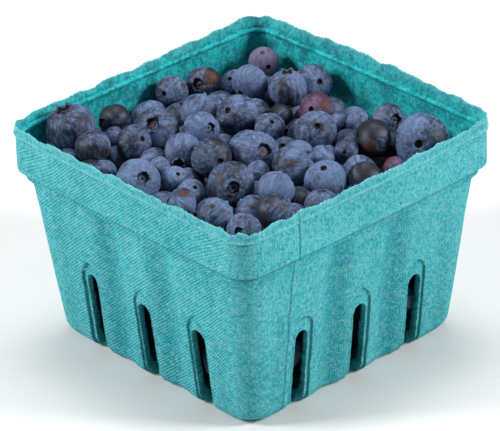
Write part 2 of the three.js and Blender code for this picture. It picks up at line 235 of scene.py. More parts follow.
class NodeBoard:
    """The nodes of one material or group, added and joined in a few words."""

    def __init__(self, tree: bpy.types.NodeTree) -> None:
        """Starts on an empty node tree."""
        self.tree = tree

    def add(self, kind: str, settings: dict | None = None, **inputs) -> bpy.types.Node:
        """Adds a node.

        Args:
            kind: The node's type, without its ShaderNode prefix.
            settings: Properties of the node.
            inputs: Sockets by name, with underscores for spaces, each a value or another socket.

        Returns:
            The node.
        """
        node = self.tree.nodes.new("ShaderNode" + kind)
        for key, value in (settings or {}).items():
            setattr(node, key, value)
        for key, value in inputs.items():
            self.feed(node.inputs[key.replace("_", " ")], value)
        return node

    def feed(self, socket: Socket, value: object) -> None:
        """Joins a socket to another one, or sets its value.

        Args:
            socket: The input to feed.
            value: An output to join it to, or a plain value.
        """
        if isinstance(value, bpy.types.NodeSocket):
            self.tree.links.new(value, socket)
        else:
            socket.default_value = value

    def math(self, operation: str, first: object, second: object = 0.0) -> Socket:
        """The result of one sum on two values.

        Args:
            operation: The node's operation.
            first: A socket or a number.
            second: A socket or a number.

        Returns:
            The socket of the result.
        """
        node = self.add("Math", {"operation": operation})
        self.feed(node.inputs[0], first)
        self.feed(node.inputs[1], second)
        return node.outputs[0]

    def plus(self, first: object, second: object) -> Socket:
        """The sum of two values."""
        return self.math("ADD", first, second)

    def minus(self, first: object, second: object) -> Socket:
        """One value less another."""
        return self.math("SUBTRACT", first, second)

    def times(self, first: object, second: object) -> Socket:
        """The product of two values."""
        return self.math("MULTIPLY", first, second)

    def vector(self, operation: str, first: object, second: object = (0.0, 0.0, 0.0)) -> bpy.types.Node:
        """The node of one sum on two vectors.

        Args:
            operation: The node's operation.
            first: A socket or a vector.
            second: A socket or a vector.

        Returns:
            The node.
        """
        node = self.add("VectorMath", {"operation": operation})
        self.feed(node.inputs[0], first)
        self.feed(node.inputs[1], second)
        return node

    def noise(self, place: Socket, scale: float, detail: float = 3.0, rough: float = 0.55) -> Socket:
        """Noise at a place, 0 to 1."""
        inputs = {"Vector": place, "Scale": scale, "Detail": detail, "Roughness": rough}
        return self.add("TexNoise", None, **inputs).outputs[0]

    def span(self, value: Socket, low: float, high: float, start: float = 0.0, end: float = 1.0) -> Socket:
        """A value carried smoothly from one range to another, held at its ends.

        Args:
            value: The value to carry over.
            low: Where the first range starts.
            high: Where the first range ends.
            start: The result at low.
            end: The result at high.

        Returns:
            The socket of the result.
        """
        settings = {"interpolation_type": "SMOOTHSTEP"}
        inputs = {"Value": value, "From_Min": low, "From_Max": high, "To_Min": start, "To_Max": end}
        return self.add("MapRange", settings, **inputs).outputs[0]

    def mix(self, share: object, first: object, second: object, blend: str = "MIX") -> Socket:
        """A colour between two others.

        Args:
            share: How much of the second colour.
            first: The colour at share 0.
            second: The colour at share 1.
            blend: How the two are blended.

        Returns:
            The socket of the colour.
        """
        node = self.add("Mix", {"data_type": "RGBA", "blend_type": blend})
        self.feed(node.inputs[0], share)
        self.feed(node.inputs[6], first)
        self.feed(node.inputs[7], second)
        return node.outputs[2]

    def painted(self, name: str) -> bpy.types.Node:
        """The node that reads an attribute painted on the piece."""
        return self.add("Attribute", {"attribute_type": "GEOMETRY", "attribute_name": name})

    def parts(self, vector: Socket) -> list[Socket]:
        """The three numbers of a vector."""
        return list(self.add("SeparateXYZ", None, Vector=vector).outputs)

    def bump(self, height: Socket, distance: float, strength: float = 1.0) -> Socket:
        """The normal of a relief.

        Args:
            height: The relief's height.
            distance: How high 1 stands, in metres.
            strength: How strongly it shades.

        Returns:
            The socket for a shader's Normal.
        """
        return self.add("Bump", None, Height=height, Distance=distance, Strength=strength).outputs[0]

    def place(self, group: bpy.types.NodeTree, **inputs) -> bpy.types.Node:
        """Places a shared group with its own values.

        Args:
            group: The group to place.
            inputs: Its sockets by name, each a value or another socket.

        Returns:
            The group's node.
        """
        node = self.add("Group", {"node_tree": group})
        for key, value in inputs.items():
            self.feed(node.inputs[key.replace("_", " ")], value)
        return node


def start_group(name: str, inputs: dict[str, str], outputs: dict[str, str]) -> tuple:
    """Starts a shared shader group.

    Args:
        name: The group's name.
        inputs: Socket names with their kinds.
        outputs: Socket names with their kinds.

    Returns:
        The group, its board, its input sockets and its output node.
    """
    group = bpy.data.node_groups.new(name, "ShaderNodeTree")
    for key, kind in inputs.items():
        group.interface.new_socket(name=key, in_out="INPUT", socket_type="NodeSocket" + kind)
    for key, kind in outputs.items():
        group.interface.new_socket(name=key, in_out="OUTPUT", socket_type="NodeSocket" + kind)
    entry = group.nodes.new("NodeGroupInput")
    leave = group.nodes.new("NodeGroupOutput")
    return group, NodeBoard(group), entry.outputs, leave.inputs


def start_material(name: str) -> tuple[bpy.types.Material, NodeBoard, bpy.types.Node]:
    """Starts a material.

    Args:
        name: The material's name.

    Returns:
        The material, its board and its main shader.
    """
    material = bpy.data.materials.new(name)
    material.use_nodes = True
    tree = material.node_tree
    tree.nodes.clear()
    board = NodeBoard(tree)
    shader = board.add("BsdfPrincipled")
    leave = board.add("OutputMaterial")
    tree.links.new(shader.outputs[0], leave.inputs[0])
    return material, board, shader


def make_felt() -> bpy.types.NodeTree:
    """The shared look of felted paper fibres: their relief, pale fibres and stray coloured flecks.

    Returns:
        The shader group.
    """
    outputs = {"Height": "Float", "Pale": "Float", "Fleck": "Float", "Hue": "Float"}
    group, board, entry, leave = start_group("felted_fibres", {"Place": "Vector", "Grain": "Float"}, outputs)
    place = entry["Place"]
    stretched = board.add("Mapping", None, Vector=place, Scale=(1.0, 1.0, 2.6)).outputs[0]
    broad = board.noise(place, 160.0, 3.0, 0.6)
    fine = board.noise(stretched, 1100.0, 4.0, 0.7)
    grained = board.times(fine, entry["Grain"])
    board.feed(leave["Height"], board.plus(grained, broad))
    specks = board.noise(stretched, 1500.0, 2.0, 0.6)
    clumps = board.times(board.noise(place, 420.0, 3.0, 0.65), 0.5)
    board.feed(leave["Pale"], board.span(board.plus(specks, clumps), 0.72, 0.95))
    cells = board.add("TexVoronoi", {"voronoi_dimensions": "3D"}, Vector=place, Scale=190.0)
    ragged = board.plus(cells.outputs["Distance"], board.times(fine, 0.25))
    near = board.span(ragged, 0.18, 0.24, 1.0, 0.0)
    chance = board.parts(cells.outputs["Color"])
    board.feed(leave["Fleck"], board.times(near, board.math("GREATER_THAN", chance[0], 0.965)))
    board.feed(leave["Hue"], chance[1])
    return group


class ScreenSizes:
    """Pitches of the forming screen's mark in metres, and the slope of its ridges."""

    twill_pitch = 0.94 * MM
    knot_pitch = 0.78 * MM
    rise = 0.77
    run = 0.64


def make_screen_print() -> bpy.types.NodeTree:
    """The mark of the woven wire screen that the pulp was drawn on.

    Returns:
        The shader group. Place holds the distance round the wall, the height and the twill's share.
    """
    group, board, entry, leave = start_group("screen_print", {"Place": "Vector"}, {"Height": "Float"})
    round_wall, height, twill = board.parts(entry["Place"])
    wobble = board.times(board.noise(entry["Place"], 60.0, 2.0), 0.0016)
    across = board.plus(round_wall, wobble)
    rising = board.minus(board.times(height, ScreenSizes.rise), board.times(across, ScreenSizes.run))
    falling = board.plus(board.times(height, ScreenSizes.rise), board.times(across, ScreenSizes.run))
    ridges = board.math("SINE", board.times(rising, 2 * math.pi / ScreenSizes.twill_pitch))
    knots = board.math("SINE", board.times(falling, 2 * math.pi / ScreenSizes.knot_pitch))
    fine = board.math("SINE", board.times(rising, 2 * math.pi / ScreenSizes.knot_pitch))
    crossed = board.times(knots, fine)
    lines = board.times(ridges, twill)
    rest = board.minus(1.0, board.times(twill, 0.7))
    total = board.plus(lines, board.times(crossed, rest))
    patchy = board.span(board.noise(entry["Place"], 90.0, 2.0), 0.3, 0.62, 0.7, 1.1)
    board.feed(leave["Height"], board.times(total, patchy))
    return group


@dataclass(frozen=True)
class PulpFinish:
    """Teal moulded pulp: pale and screen-marked outside, deeper and felted inside."""

    outside: tuple = (0.075, 0.465, 0.51, 1.0)
    # Darker teal: the pulp's uneven tone, and the painted shade in the hollows and under the band.
    outside_deep: tuple = (0.0, 0.25, 0.295, 1.0)
    inside: tuple = (0.006, 0.50, 0.53, 1.0)
    inside_deep: tuple = (0.0, 0.21, 0.24, 1.0)
    fibre: tuple = (0.33, 0.60, 0.63, 1.0)
    # Paler teal: the painted highlight on the bead under the lip, and the paler top of the lip.
    bead_highlight_and_pale_top: tuple = (0.25, 0.60, 0.62, 1.0)
    tan: tuple = (0.55, 0.36, 0.20, 1.0)
    brown: tuple = (0.14, 0.07, 0.05, 1.0)
    # Dark teal of the seam line and of the painted shade lines.
    line: tuple = (0.0, 0.12, 0.15, 1.0)
    seam_at: float = 33.0 * MM
    roughness: float = 0.88
    relief: float = 0.16 * MM

    def material(self, felt: bpy.types.NodeTree, screen: bpy.types.NodeTree) -> bpy.types.Material:
        """Builds the material.

        Args:
            felt: The shared group of felted fibres.
            screen: The shared group of the screen's mark.

        Returns:
            The material.
        """
        material, board, shader = start_material("teal_pulp")
        place = board.add("TexCoord").outputs["Object"]
        mould = board.painted("mould_place").outputs["Vector"]
        inner = board.painted("inner").outputs["Fac"]
        fibres = board.place(felt, Place=place, Grain=0.55)
        print_height = board.place(screen, Place=mould).outputs[0]
        outer = board.minus(1.0, inner)
        marked = board.times(print_height, board.times(outer, 0.42))
        tone = board.plus(board.noise(place, 900.0, 3.0, 0.7), board.times(marked, 0.23))
        cloudy = board.plus(tone, board.times(board.noise(place, 60.0, 3.0), 0.22))
        # Painted shade: the pulp darkens towards outside_deep in the hollows, in bands near the corners,
        # under the band and on the recess borders.
        hollow_shade = board.times(board.painted("hollow").outputs["Fac"], 0.18)
        tone_with_shade = board.minus(cloudy, hollow_shade)
        outside = board.mix(board.span(tone_with_shade, 0.42, 0.76), self.outside_deep, self.outside)
        blotched = board.plus(board.times(board.noise(place, 210.0, 3.0, 0.6), 0.8), tone)
        inside = board.mix(board.span(blotched, 0.72, 1.08), self.inside_deep, self.inside)
        plain_pulp = board.mix(inner, outside, inside)
        # A painted highlight on the bead under the lip, and a paler top of the lip.
        base = board.mix(board.painted("bead_highlight_and_pale_top").outputs["Fac"], plain_pulp, self.bead_highlight_and_pale_top)
        pale = board.times(fibres.outputs["Pale"], board.span(inner, 0.0, 1.0, 0.5, 0.2))
        fibred = board.mix(pale, base, self.fibre)
        fleck_colour = board.mix(fibres.outputs["Hue"], self.brown, self.tan)
        flecked = board.mix(fibres.outputs["Fleck"], fibred, fleck_colour)
        # The seam line, and the painted shade lines held in the crease value: along the recess edges, under
        # the band and round the openings inside.
        line = board.math("MAXIMUM", self.seam(board, place, outer), board.painted("crease").outputs["Fac"])
        shadowed = board.mix(board.times(line, 0.8), flecked, self.line)
        board.feed(shader.inputs["Base Color"], shadowed)
        shader.inputs["Roughness"].default_value = self.roughness
        shader.inputs["Specular IOR Level"].default_value = 0.25
        height = board.plus(fibres.outputs["Height"], board.times(marked, 1.5))
        sunk = board.minus(height, board.times(line, 2.2))
        board.feed(shader.inputs["Normal"], board.bump(sunk, self.relief, 0.9))
        return material

    def seam(self, board: NodeBoard, place: Socket, outer: Socket) -> Socket:
        """The line down the side that faces +X, where two screens of the mould met.

        Args:
            board: The material's board.
            place: Place on the piece.
            outer: 1 on the outer wall, 0 inside.

        Returns:
            The line's strength, 0 to 1.
        """
        x, y, z = board.parts(place)
        sway = board.times(board.noise(place, 70.0, 1.0), 1.6 * MM)
        leaning = board.times(z, 0.012)
        offset = board.plus(board.plus(y, self.seam_at), board.minus(sway, leaning))
        broken = board.span(board.noise(place, 260.0, 3.0), 0.3, 0.6, 0.35, 0.8)
        close = board.span(board.math("ABSOLUTE", offset), 0.1 * MM, 0.7 * MM, 1.0, 0.0)
        near = board.times(close, broken)
        on_side = board.times(board.math("GREATER_THAN", x, 40 * MM), outer)
        return board.times(near, on_side)


@dataclass(frozen=True)
class FibreFinish:
    """Loose paper fibres at the torn edges."""

    colour: tuple = (0.16, 0.48, 0.50, 1.0)
    pale: tuple = (0.42, 0.62, 0.63, 1.0)

    def material(self, felt: bpy.types.NodeTree) -> bpy.types.Material:
        """Builds the material from the shared group of felted fibres.

        Args:
            felt: The shared group of felted fibres.

        Returns:
            The material.
        """
        material, board, shader = start_material("loose_fibre")
        place = board.add("TexCoord").outputs["Object"]
        fibres = board.place(felt, Place=place, Grain=0.3)
        board.feed(shader.inputs["Base Color"], board.mix(fibres.outputs["Pale"], self.colour, self.pale))
        shader.inputs["Roughness"].default_value = 0.9
        return material


@dataclass(frozen=True)
class PunnetForm:
    """Sizes of the moulded punnet and the shape of its wall."""

    height: float = 78 * MM
    rim_half: float = 57 * MM
    rim_corner: float = 7.5 * MM
    side_bow: float = 0.6 * MM
    lip_depth: float = 3 * MM
    lip_wall: float = 1.4 * MM
    band_depth: float = 16 * MM
    band_half: float = 56.8 * MM
    band_corner: float = 8 * MM
    step_height: float = 3.5 * MM
    body_top_half: float = 54 * MM
    body_top_corner: float = 9.5 * MM
    foot_half: float = 48 * MM
    foot_corner: float = 8.5 * MM
    foot_radius: float = 5.5 * MM
    foot_flat: float = 3.5 * MM
    wall: float = 2.3 * MM
    floor_wall: float = 2.2 * MM
    floor_rise: float = 1.8 * MM
    flute_depth: float = 2.1 * MM
    flute_half_width: float = 8.4 * MM
    flute_fade: float = 8 * MM
    flute_start: float = 3.5 * MM
    flute_at_foot: float = 0.8
    # Where the bands of painted shade near the corners lie along a side.
    corner_shade_at: float = 37 * MM
    slot_pitch: float = 25.6 * MM
    slots_per_side: int = 3
    lifts: tuple = (0, 1, 2.2, 1.2, -0.4, -0.3, 0, 0)
    tear_waves: tuple = (17, 31, 47)
    tear_height: float = 0.25 * MM
    outer_half: float = 57.75 * MM
    side_columns: int = 14
    corner_columns: int = 3

    @property
    def band_bottom(self) -> float:
        """Height of the band's lower edge."""
        return self.height - self.band_depth

    @property
    def body_top(self) -> float:
        """Height where the tapered body meets the step under the band."""
        return self.band_bottom - self.step_height

    @property
    def floor_top(self) -> float:
        """Height of the floor inside."""
        return self.floor_rise + self.floor_wall

    def body_half(self, z: Array | float) -> Array | float:
        """Half width of the tapered body's outer wall at a height."""
        share = (z - self.foot_radius) / (self.body_top - self.foot_radius)
        return self.foot_half + (self.body_top_half - self.foot_half) * share

    def body_corner(self, z: Array | float) -> Array | float:
        """Corner radius of the body's outer wall at a height."""
        share = (z - self.foot_radius) / (self.body_top - self.foot_radius)
        return self.foot_corner + (self.body_top_corner - self.foot_corner) * share

    def flute(self, along: Array | float) -> Array | float:
        """How deep the upright hollows are at a place along a side, 0 to 1.

        Args:
            along: Distance along the side from its middle.

        Returns:
            The share of the full depth.
        """
        depth = 0.0 * np.asarray(along)
        for middle in (-self.slot_pitch / 2, self.slot_pitch / 2):
            offset = np.clip((along - middle) / self.flute_half_width, -1, 1)
            depth = depth + np.cos(offset * QUARTER) ** 2
        return depth

    def flute_share(self, z: Array | float) -> Array | float:
        """How fully the hollows are formed at a height, 0 to 1."""
        below = smooth(self.body_top + MM - z, 0, self.flute_start)
        return below * smooth(z, 0, self.flute_fade)

    def keep_inside(self, places: Array) -> Array:
        """Points held within the punnet's widest measure.

        Args:
            places: Points, one row each.

        Returns:
            The points, held in.
        """
        kept = places.copy()
        kept[:, :2] = np.clip(kept[:, :2], -self.outer_half, self.outer_half)
        return kept

    def rim_lift(self, turn: Array) -> Array:
        """Height of the torn edge above the level rim.

        Args:
            turn: How far round the rim from the start of the side that faces +X, 0 to 1.

        Returns:
            The lift in metres.
        """
        angle = 2 * math.pi * turn
        tear = sum(np.sin(waves * angle + waves) for waves in self.tear_waves)
        count = len(self.lifts)
        quarter = self.side_columns + self.corner_columns
        place = (turn - self.side_columns / 2 / quarter / SIDES) * count + count
        heights = np.array(self.lifts) * MM
        before = heights[np.floor(place).astype(int) % count]
        after = heights[np.ceil(place).astype(int) % count]
        return self.tear_height * tear + before + (after - before) * smooth(place % 1, 0, 1)

    def slot_middles(self) -> list[float]:
        """Places of the slots along a side."""
        first = -(self.slots_per_side - 1) / 2
        return [(first + number) * self.slot_pitch for number in range(self.slots_per_side)]


@dataclass(frozen=True)
class SlotForm:
    """One upright slot: a sunk border with an opening torn through it.

    Each size may be a number, or an array with one number for each column of the shell's sheet.
    """

    middle: float = 0.0
    open_half: float = 2.8 * MM
    open_top: float = 30.3 * MM
    recess_half: float = 4.2 * MM
    recess_top: float = 35.9 * MM
    depth: float = 0.65 * MM
    point: float = 1.7
    recess_rise: float = 5.6 * MM
    recess_end: float = -2.6 * MM
    inner_bulge: float = 0.6 * MM
    open_rise: float = 3.2 * MM
    open_bottom: float = -1.3 * MM
    open_foot: float = 0.9 * MM

    def stops(self) -> list[float]:
        """Places of the columns across the slot, closest together at its edges.

        Returns:
            Distances along the side, in order.
        """
        edge = [self.recess_half + step * MM for step in (1.0, 0.45, 0.2, 0.0, -0.2, -0.45)]
        lip = [self.open_half + 0.3 * MM, self.open_half, self.open_half - 0.8 * MM]
        halves = edge + lip + [0.35 * self.open_half]
        offsets = [-half for half in halves] + [0.0] + halves[::-1]
        return [self.middle + offset for offset in offsets]

    def recess_gap(self, across: Array, t: Array) -> Array:
        """How far inside the recess's outline a place lies, less than zero outside.

        Args:
            across: Distance from the slot's middle line.
            t: Distance up the wall.

        Returns:
            The distance.
        """
        rise = np.clip(t - (self.recess_top - self.recess_rise), 0, None) / self.recess_rise
        ratio = ((np.abs(across) / self.recess_half) ** self.point + rise**self.point) ** (1 / self.point)
        return (1 - ratio) * self.recess_half

    def sunk_depth(self, gap: Array, t: Array) -> Array:
        """How deep the border is pressed in: a sharp edge with a groove inside it.

        Args:
            gap: Distance inside the recess's outline.
            t: Distance up the wall.

        Returns:
            The depth.
        """
        edge = smooth(gap, -0.1 * MM, 0.28 * MM)
        groove = 0.14 * np.exp(-(((gap - 0.3 * MM) / (0.25 * MM)) ** 2))
        lip = 0.22 * smooth(gap, 0.7 * MM, 1.4 * MM)
        return self.depth * (edge + groove - lip) * smooth(t, self.recess_end, self.recess_end + 2 * MM)

    def opening_ratio(self, across: Array, t: Array) -> tuple[Array, Array]:
        """Where a place lies in the opening's outline.

        Args:
            across: Distance from the slot's middle line.
            t: Distance up the wall.

        Returns:
            The ratio, 1 on the outline, and the height it is measured from.
        """
        top = self.open_top - self.open_rise
        bottom = self.open_bottom + self.open_foot
        middle = np.clip(t, bottom, top)
        rise = np.abs(t - middle) / np.where(t > top, self.open_rise, self.open_foot)
        ratio = np.hypot(across / self.open_half, rise)
        return ratio, middle


PITCH = PunnetForm.slot_pitch
PLAIN_SLOTS = tuple(SlotForm(middle=place * PITCH) for place in (-1, 0, 1))
RIGHT_SLOTS = (
    SlotForm(-PITCH - 1.2 * MM, 2.75 * MM, 30.5 * MM, 4.3 * MM, 36.1 * MM, 0.65 * MM, 1.9),
    SlotForm(-0.8 * MM, 2.8 * MM, 29.4 * MM, 4.3 * MM, 35.7 * MM, 0.65 * MM, 1.5),
    SlotForm(PITCH - 1.0 * MM, 2.85 * MM, 30.0 * MM, 4.3 * MM, 35.7 * MM, 0.65 * MM, 1.7),
)
LEFT_SLOTS = (
    SlotForm(-PITCH + 1.3 * MM, 2.5 * MM, 31.2 * MM, 4.4 * MM, 35.9 * MM, 0.95 * MM, 1.35),
    SlotForm(1.3 * MM, 2.95 * MM, 30.5 * MM, 4.0 * MM, 36.0 * MM, 0.65 * MM, 1.4),
    SlotForm(PITCH + 1.4 * MM, 3.1 * MM, 30.9 * MM, 4.1 * MM, 36.6 * MM, 0.65 * MM, 1.45),
)


@dataclass
class Row:
    """One ring of the shell's sheet: where it lies on the wall's profile."""

    z: float
    half: float
    corner: float
    hollow: float = 0.0
    bow: float = 1.0
    t: float = 0.0
    inner: float = 0.0
    slotted: bool = False


@dataclass
class PulpShell:
    """The punnet's wall, band and floor: one sheet pressed on the mould, with its slots torn open."""

    form: PunnetForm
    slots: tuple = (RIGHT_SLOTS, PLAIN_SLOTS, PLAIN_SLOTS, LEFT_SLOTS)
    hold: float = 33.5 * MM
    reach: float = 44.0 * MM
    coarse_step: float = 1.6 * MM
    corner_steps: int = 9
    slot_step: float = 0.9 * MM
    arch_step: float = 0.5 * MM
    arch_start: float = 26.0 * MM
    slot_rows_top: float = 38.4 * MM
    plain_step: float = 1.05 * MM
    inner_step: float = 1.7 * MM
    floor_rings: tuple = ((0.7, 6.0 * MM), (0.35, 3.0 * MM))
    shade: float = 1.1
    shaded_to: float = 1.4
    shaded_low: float = 8 * MM
    twills: tuple = (0.25, 0.5, 0.8, 1.0)
    columns: list = field(default_factory=list)
    rows: list = field(default_factory=list)

    def side_stops(self, side: int) -> list[tuple[float, SlotForm]]:
        """Places of the columns along one side, each with the slot it is nearest to.

        Args:
            side: Which side, counted round from the one that faces +X.

        Returns:
            Each column's distance along the side and its slot.
        """
        stops: list[tuple[float, SlotForm]] = []
        last = -self.reach
        for slot in self.slots[side]:
            fine = slot.stops()
            count = max(1, round((fine[0] - last) / self.coarse_step))
            coarse = np.linspace(last, fine[0], count + 1)[:-1]
            stops += [(float(stop), slot) for stop in (*coarse, *fine[:-1])]
            last = fine[-1]
        count = round((self.reach - last) / self.coarse_step)
        return stops + [(float(stop), slot) for stop in np.linspace(last, self.reach, count + 1)]

    def lay_columns(self) -> None:
        """Lists the columns round the wall, from the back left corner by the side facing -X."""
        angles = np.linspace(0, QUARTER, self.corner_steps + 1)[1:-1]
        for quarter in range(SIDES):
            side = (quarter + 2) % SIDES
            stops = self.side_stops(side)
            self.columns += [(side, stop, 0.0, slot) for stop, slot in stops]
            self.columns += [(side, self.reach, angle, stops[-1][1]) for angle in angles]
        self.columns.append((2, -self.reach, 0.0, self.slots[2][0]))

    def near_slots(self) -> SlotForm:
        """The slot that each column is nearest to, as one form that holds arrays.

        Returns:
            The slots' sizes, one number for each column.
        """
        sizes = SlotForm.__annotations__
        return SlotForm(**{
            key: np.array([getattr(column[3], key) for column in self.columns])[None, :] for key in sizes
        })

    def outer_path(self, t: Array) -> tuple[Array, Array, Array]:
        """The outer wall and the rounded foot, by distance up the wall.

        Args:
            t: Distance up the wall, which is the height above the foot's curve.

        Returns:
            Half width, height and the angle that the wall has turned under.
        """
        form = self.form
        turn = np.clip((form.foot_radius - t) / form.foot_radius, 0, QUARTER)
        past = np.clip((form.foot_radius - t) - form.foot_radius * QUARTER, 0, None)
        bent = form.foot_half - form.foot_radius * (1 - np.cos(turn)) - past
        half = np.where(t >= form.foot_radius, form.body_half(t), bent)
        z = np.where(t >= form.foot_radius, t, form.foot_radius * (1 - np.sin(turn)))
        return half, z, turn

    def inner_path(self, t: Array) -> tuple[Array, Array, Array]:
        """The inner wall and its foot, by the same distance up the wall.

        Args:
            t: Distance up the wall.

        Returns:
            Half width, height and the angle that the wall has turned under.
        """
        form = self.form
        radius = form.foot_radius - form.wall
        start = form.floor_top + radius
        turn = np.clip((start - t) / radius, 0, QUARTER)
        past = np.clip((start - t) - radius * QUARTER, 0, None)
        bent = form.foot_half - form.wall - radius * (1 - np.cos(turn)) - past
        half = np.where(t >= start, form.body_half(t) - form.wall, bent)
        z = np.where(t >= start, t, form.floor_top + radius * (1 - np.sin(turn)))
        return half, z, turn

    def wall_row(self, t: float, inner: float) -> Row:
        """A row on the tapered wall or its foot.

        Args:
            t: Distance up the wall.
            inner: 1 on the inner wall, 0 on the outer one.

        Returns:
            The row.
        """
        path = self.inner_path if inner else self.outer_path
        half, z, turn = (float(value) for value in path(np.array(t)))
        inset = self.form.wall * inner
        at_foot = self.form.flute_at_foot * (1 - 0.55 * turn / QUARTER) * (z < 2 * self.form.foot_radius)
        hollow = max(float(self.form.flute_share(z)), at_foot)
        corner = float(self.form.body_corner(max(z, self.form.foot_radius))) - inset
        slotted = SlotForm.recess_end - MM < t < self.slot_rows_top + MM
        return Row(z, half, corner, hollow, 1.0, t, inner, slotted)

    def band_row(self, z: float, half: float, inner: float) -> Row:
        """A row on the band, from its height and half width in millimetres."""
        corner = self.form.band_corner + (half * MM - self.form.band_half)
        return Row(z * MM, half * MM, max(corner, 4 * MM), 0.0, 1.0, z * MM, inner)

    def lay_rows(self) -> None:
        """Lists the rows from under the floor, up the outside, over the ledge and down the inside."""
        low = -self.form.foot_radius * (QUARTER - 1)
        slot_stops = list(np.arange(low, self.arch_start, self.slot_step))
        slot_stops += list(np.arange(self.arch_start, self.slot_rows_top, self.arch_step))
        self.rows = self.foot_rows() + self.outer_rows(slot_stops) + self.inner_rows(slot_stops)

    def foot_rows(self) -> list[Row]:
        """The rows of the underside.

        Returns:
            The rows, from the middle out.
        """
        form = self.form
        flat = form.foot_half - form.foot_radius - form.foot_flat
        corner = form.foot_corner - form.foot_flat
        raised = flat - 2 * form.floor_rise
        return [
            Row(form.floor_rise, 0.0, 0.0, bow=0.0, t=-0.04),
            Row(form.floor_rise, raised / 2, corner / 2, t=-0.025),
            Row(form.floor_rise, raised, corner, t=-0.0106),
            Row(0.0, flat, corner, t=-0.0066),
            Row(0.0, flat + form.foot_flat / 2, 7 * MM, t=-0.0049),
        ]

    def outer_rows(self, slot_stops: list[float]) -> list[Row]:
        """The rows of the outside: the wall, the step, the band and the crease under the lip.

        Args:
            slot_stops: Distances up the wall of the rows beside the slots.

        Returns:
            The rows, from the foot up.
        """
        wall_stops = list(np.arange(self.slot_rows_top, self.form.body_top - MM, self.plain_step))
        step = [(58.3, 53.98), (59.3, 54.2), (60.3, 54.6), (61.0, 55.1), (61.45, 55.75), (61.75, 56.4)]
        band = [(62.0, 56.78)] + [(z, 56.85) for z in np.arange(62.5, 73.4, 0.9)]
        crease = [(73.8, 56.75), (74.1, 56.62), (74.4, 56.7), (74.7, 56.95), (75.0, 56.6)]
        rows = [self.wall_row(t, 0.0) for t in slot_stops + wall_stops]
        return rows + [self.band_row(z, half, 0.0) for z, half in step + band + crease]

    def inner_rows(self, slot_stops: list[float]) -> list[Row]:
        """The rows of the inside: the ledge, the band, the step, the wall and the floor.

        Args:
            slot_stops: Distances up the wall of the rows beside the slots.

        Returns:
            The rows, from the ledge down.
        """
        form = self.form
        ledge = [(75.0, 55.5), (75.0, 54.9), (74.9, 54.5), (74.6, 54.25), (74.15, 54.2), (73.7, 54.5)]
        under = [(73.3, 54.85), (72.6, 54.9), (71.4, 54.85)]
        band = [(z, 54.7) for z in np.arange(70.2, 62.6, -1.2)]
        step = [(61.9, 54.5), (61.0, 54.0), (60.0, 53.2), (59.0, 52.35), (58.0, 51.8)]
        upper = list(np.arange(self.slot_rows_top, form.body_top - 2 * MM, self.inner_step))[::-1]
        lower = [t for t in slot_stops if t > SlotForm.open_bottom - 0.4 * MM][::-1]
        rows = [self.band_row(z, half, 1.0) for z, half in ledge + under + band + step]
        rows += [self.wall_row(t, 1.0) for t in upper + lower]
        for share, corner in self.floor_rings:
            rows.append(Row(form.floor_top, form.foot_half * share, corner, t=-0.02, inner=1.0))
        return rows + [Row(form.floor_top, 0.0, 0.0, bow=0.0, t=-0.04, inner=1.0)]

    def along(self, stops: Array, straight: Array) -> Array:
        """Where columns lie along a side whose straight stretch has a given half length.

        Args:
            stops: The columns' places on the flat sheet.
            straight: Half length of the side's straight stretch.

        Returns:
            Distances from the side's middle.
        """
        size = np.abs(stops)
        stretched = self.hold + (size - self.hold) / (self.reach - self.hold) * (straight - self.hold)
        held = np.where(size <= self.hold, size, stretched)
        return np.sign(stops) * np.where(straight > self.hold, held, size / self.reach * straight)

    def press(self) -> dict[str, Array]:
        """Presses the flat sheet onto the mould.

        Returns:
            Arrays with one line for each row and one column for each column of the sheet: places,
            which quads are torn away, and the values to paint.
        """
        form, slot = self.form, self.near_slots()
        side, stop, angle = (
            np.array([column[part] for column in self.columns])[None, :] for part in range(3)
        )
        rows = {
            key: np.array([getattr(row, key) for row in self.rows])[:, None] for key in Row.__annotations__
        }
        full = np.ones((len(self.rows), len(self.columns)))
        is_inner = rows["inner"] > 0.5
        t = rows["t"] * full
        along = self.along(stop, rows["half"] - rows["corner"]) * full
        slotted = rows["slotted"] & (angle == 0) & (np.abs(stop) < self.hold)
        torn, across, t = self.tear_slots(slot, along, t, slotted, is_inner * 1.0)
        along = np.where(slotted, across + slot.middle, along)
        paths = [self.outer_path(t), self.inner_path(t)]
        wall = [np.where(is_inner, inner, outer) for outer, inner in zip(*paths)]
        on_wall = rows["slotted"] & (t > slot.recess_end - MM)
        half = np.where(on_wall, wall[0], rows["half"])
        z = np.where(on_wall, wall[1], rows["z"] * full)
        turn = np.where(on_wall, wall[2], 0.0)
        gap = slot.recess_gap(across, t) + self.waver(side, along, t)
        sunk = np.where(slotted, slot.sunk_depth(gap, t), 0.0)
        depth = np.where(is_inner, sunk / slot.depth * slot.inner_bulge, sunk)
        straight = half - rows["corner"]
        share = along / np.maximum(straight, 1e-9)
        bow = form.side_bow * rows["bow"] * np.where(angle == 0, 1 - np.minimum(share**2, 1), 0)
        hollow = rows["hollow"] * form.flute_depth * form.flute(along) * (angle == 0)
        out = half + bow - hollow - depth * np.cos(turn)
        z = z + depth * np.sin(turn)
        out = np.where(angle == 0, out, straight + rows["corner"] * np.cos(angle))
        along = np.where(angle == 0, along, straight + rows["corner"] * np.sin(angle))
        # Painted shade: dark lines along the recess edges outside, and shade round the openings inside.
        shade_round_slots = np.maximum(
            self.recess_shade_line(slot, gap, t) * (slotted & ~is_inner),
            self.slot_shade(slot, across, t) * (slotted & is_inner),
        )
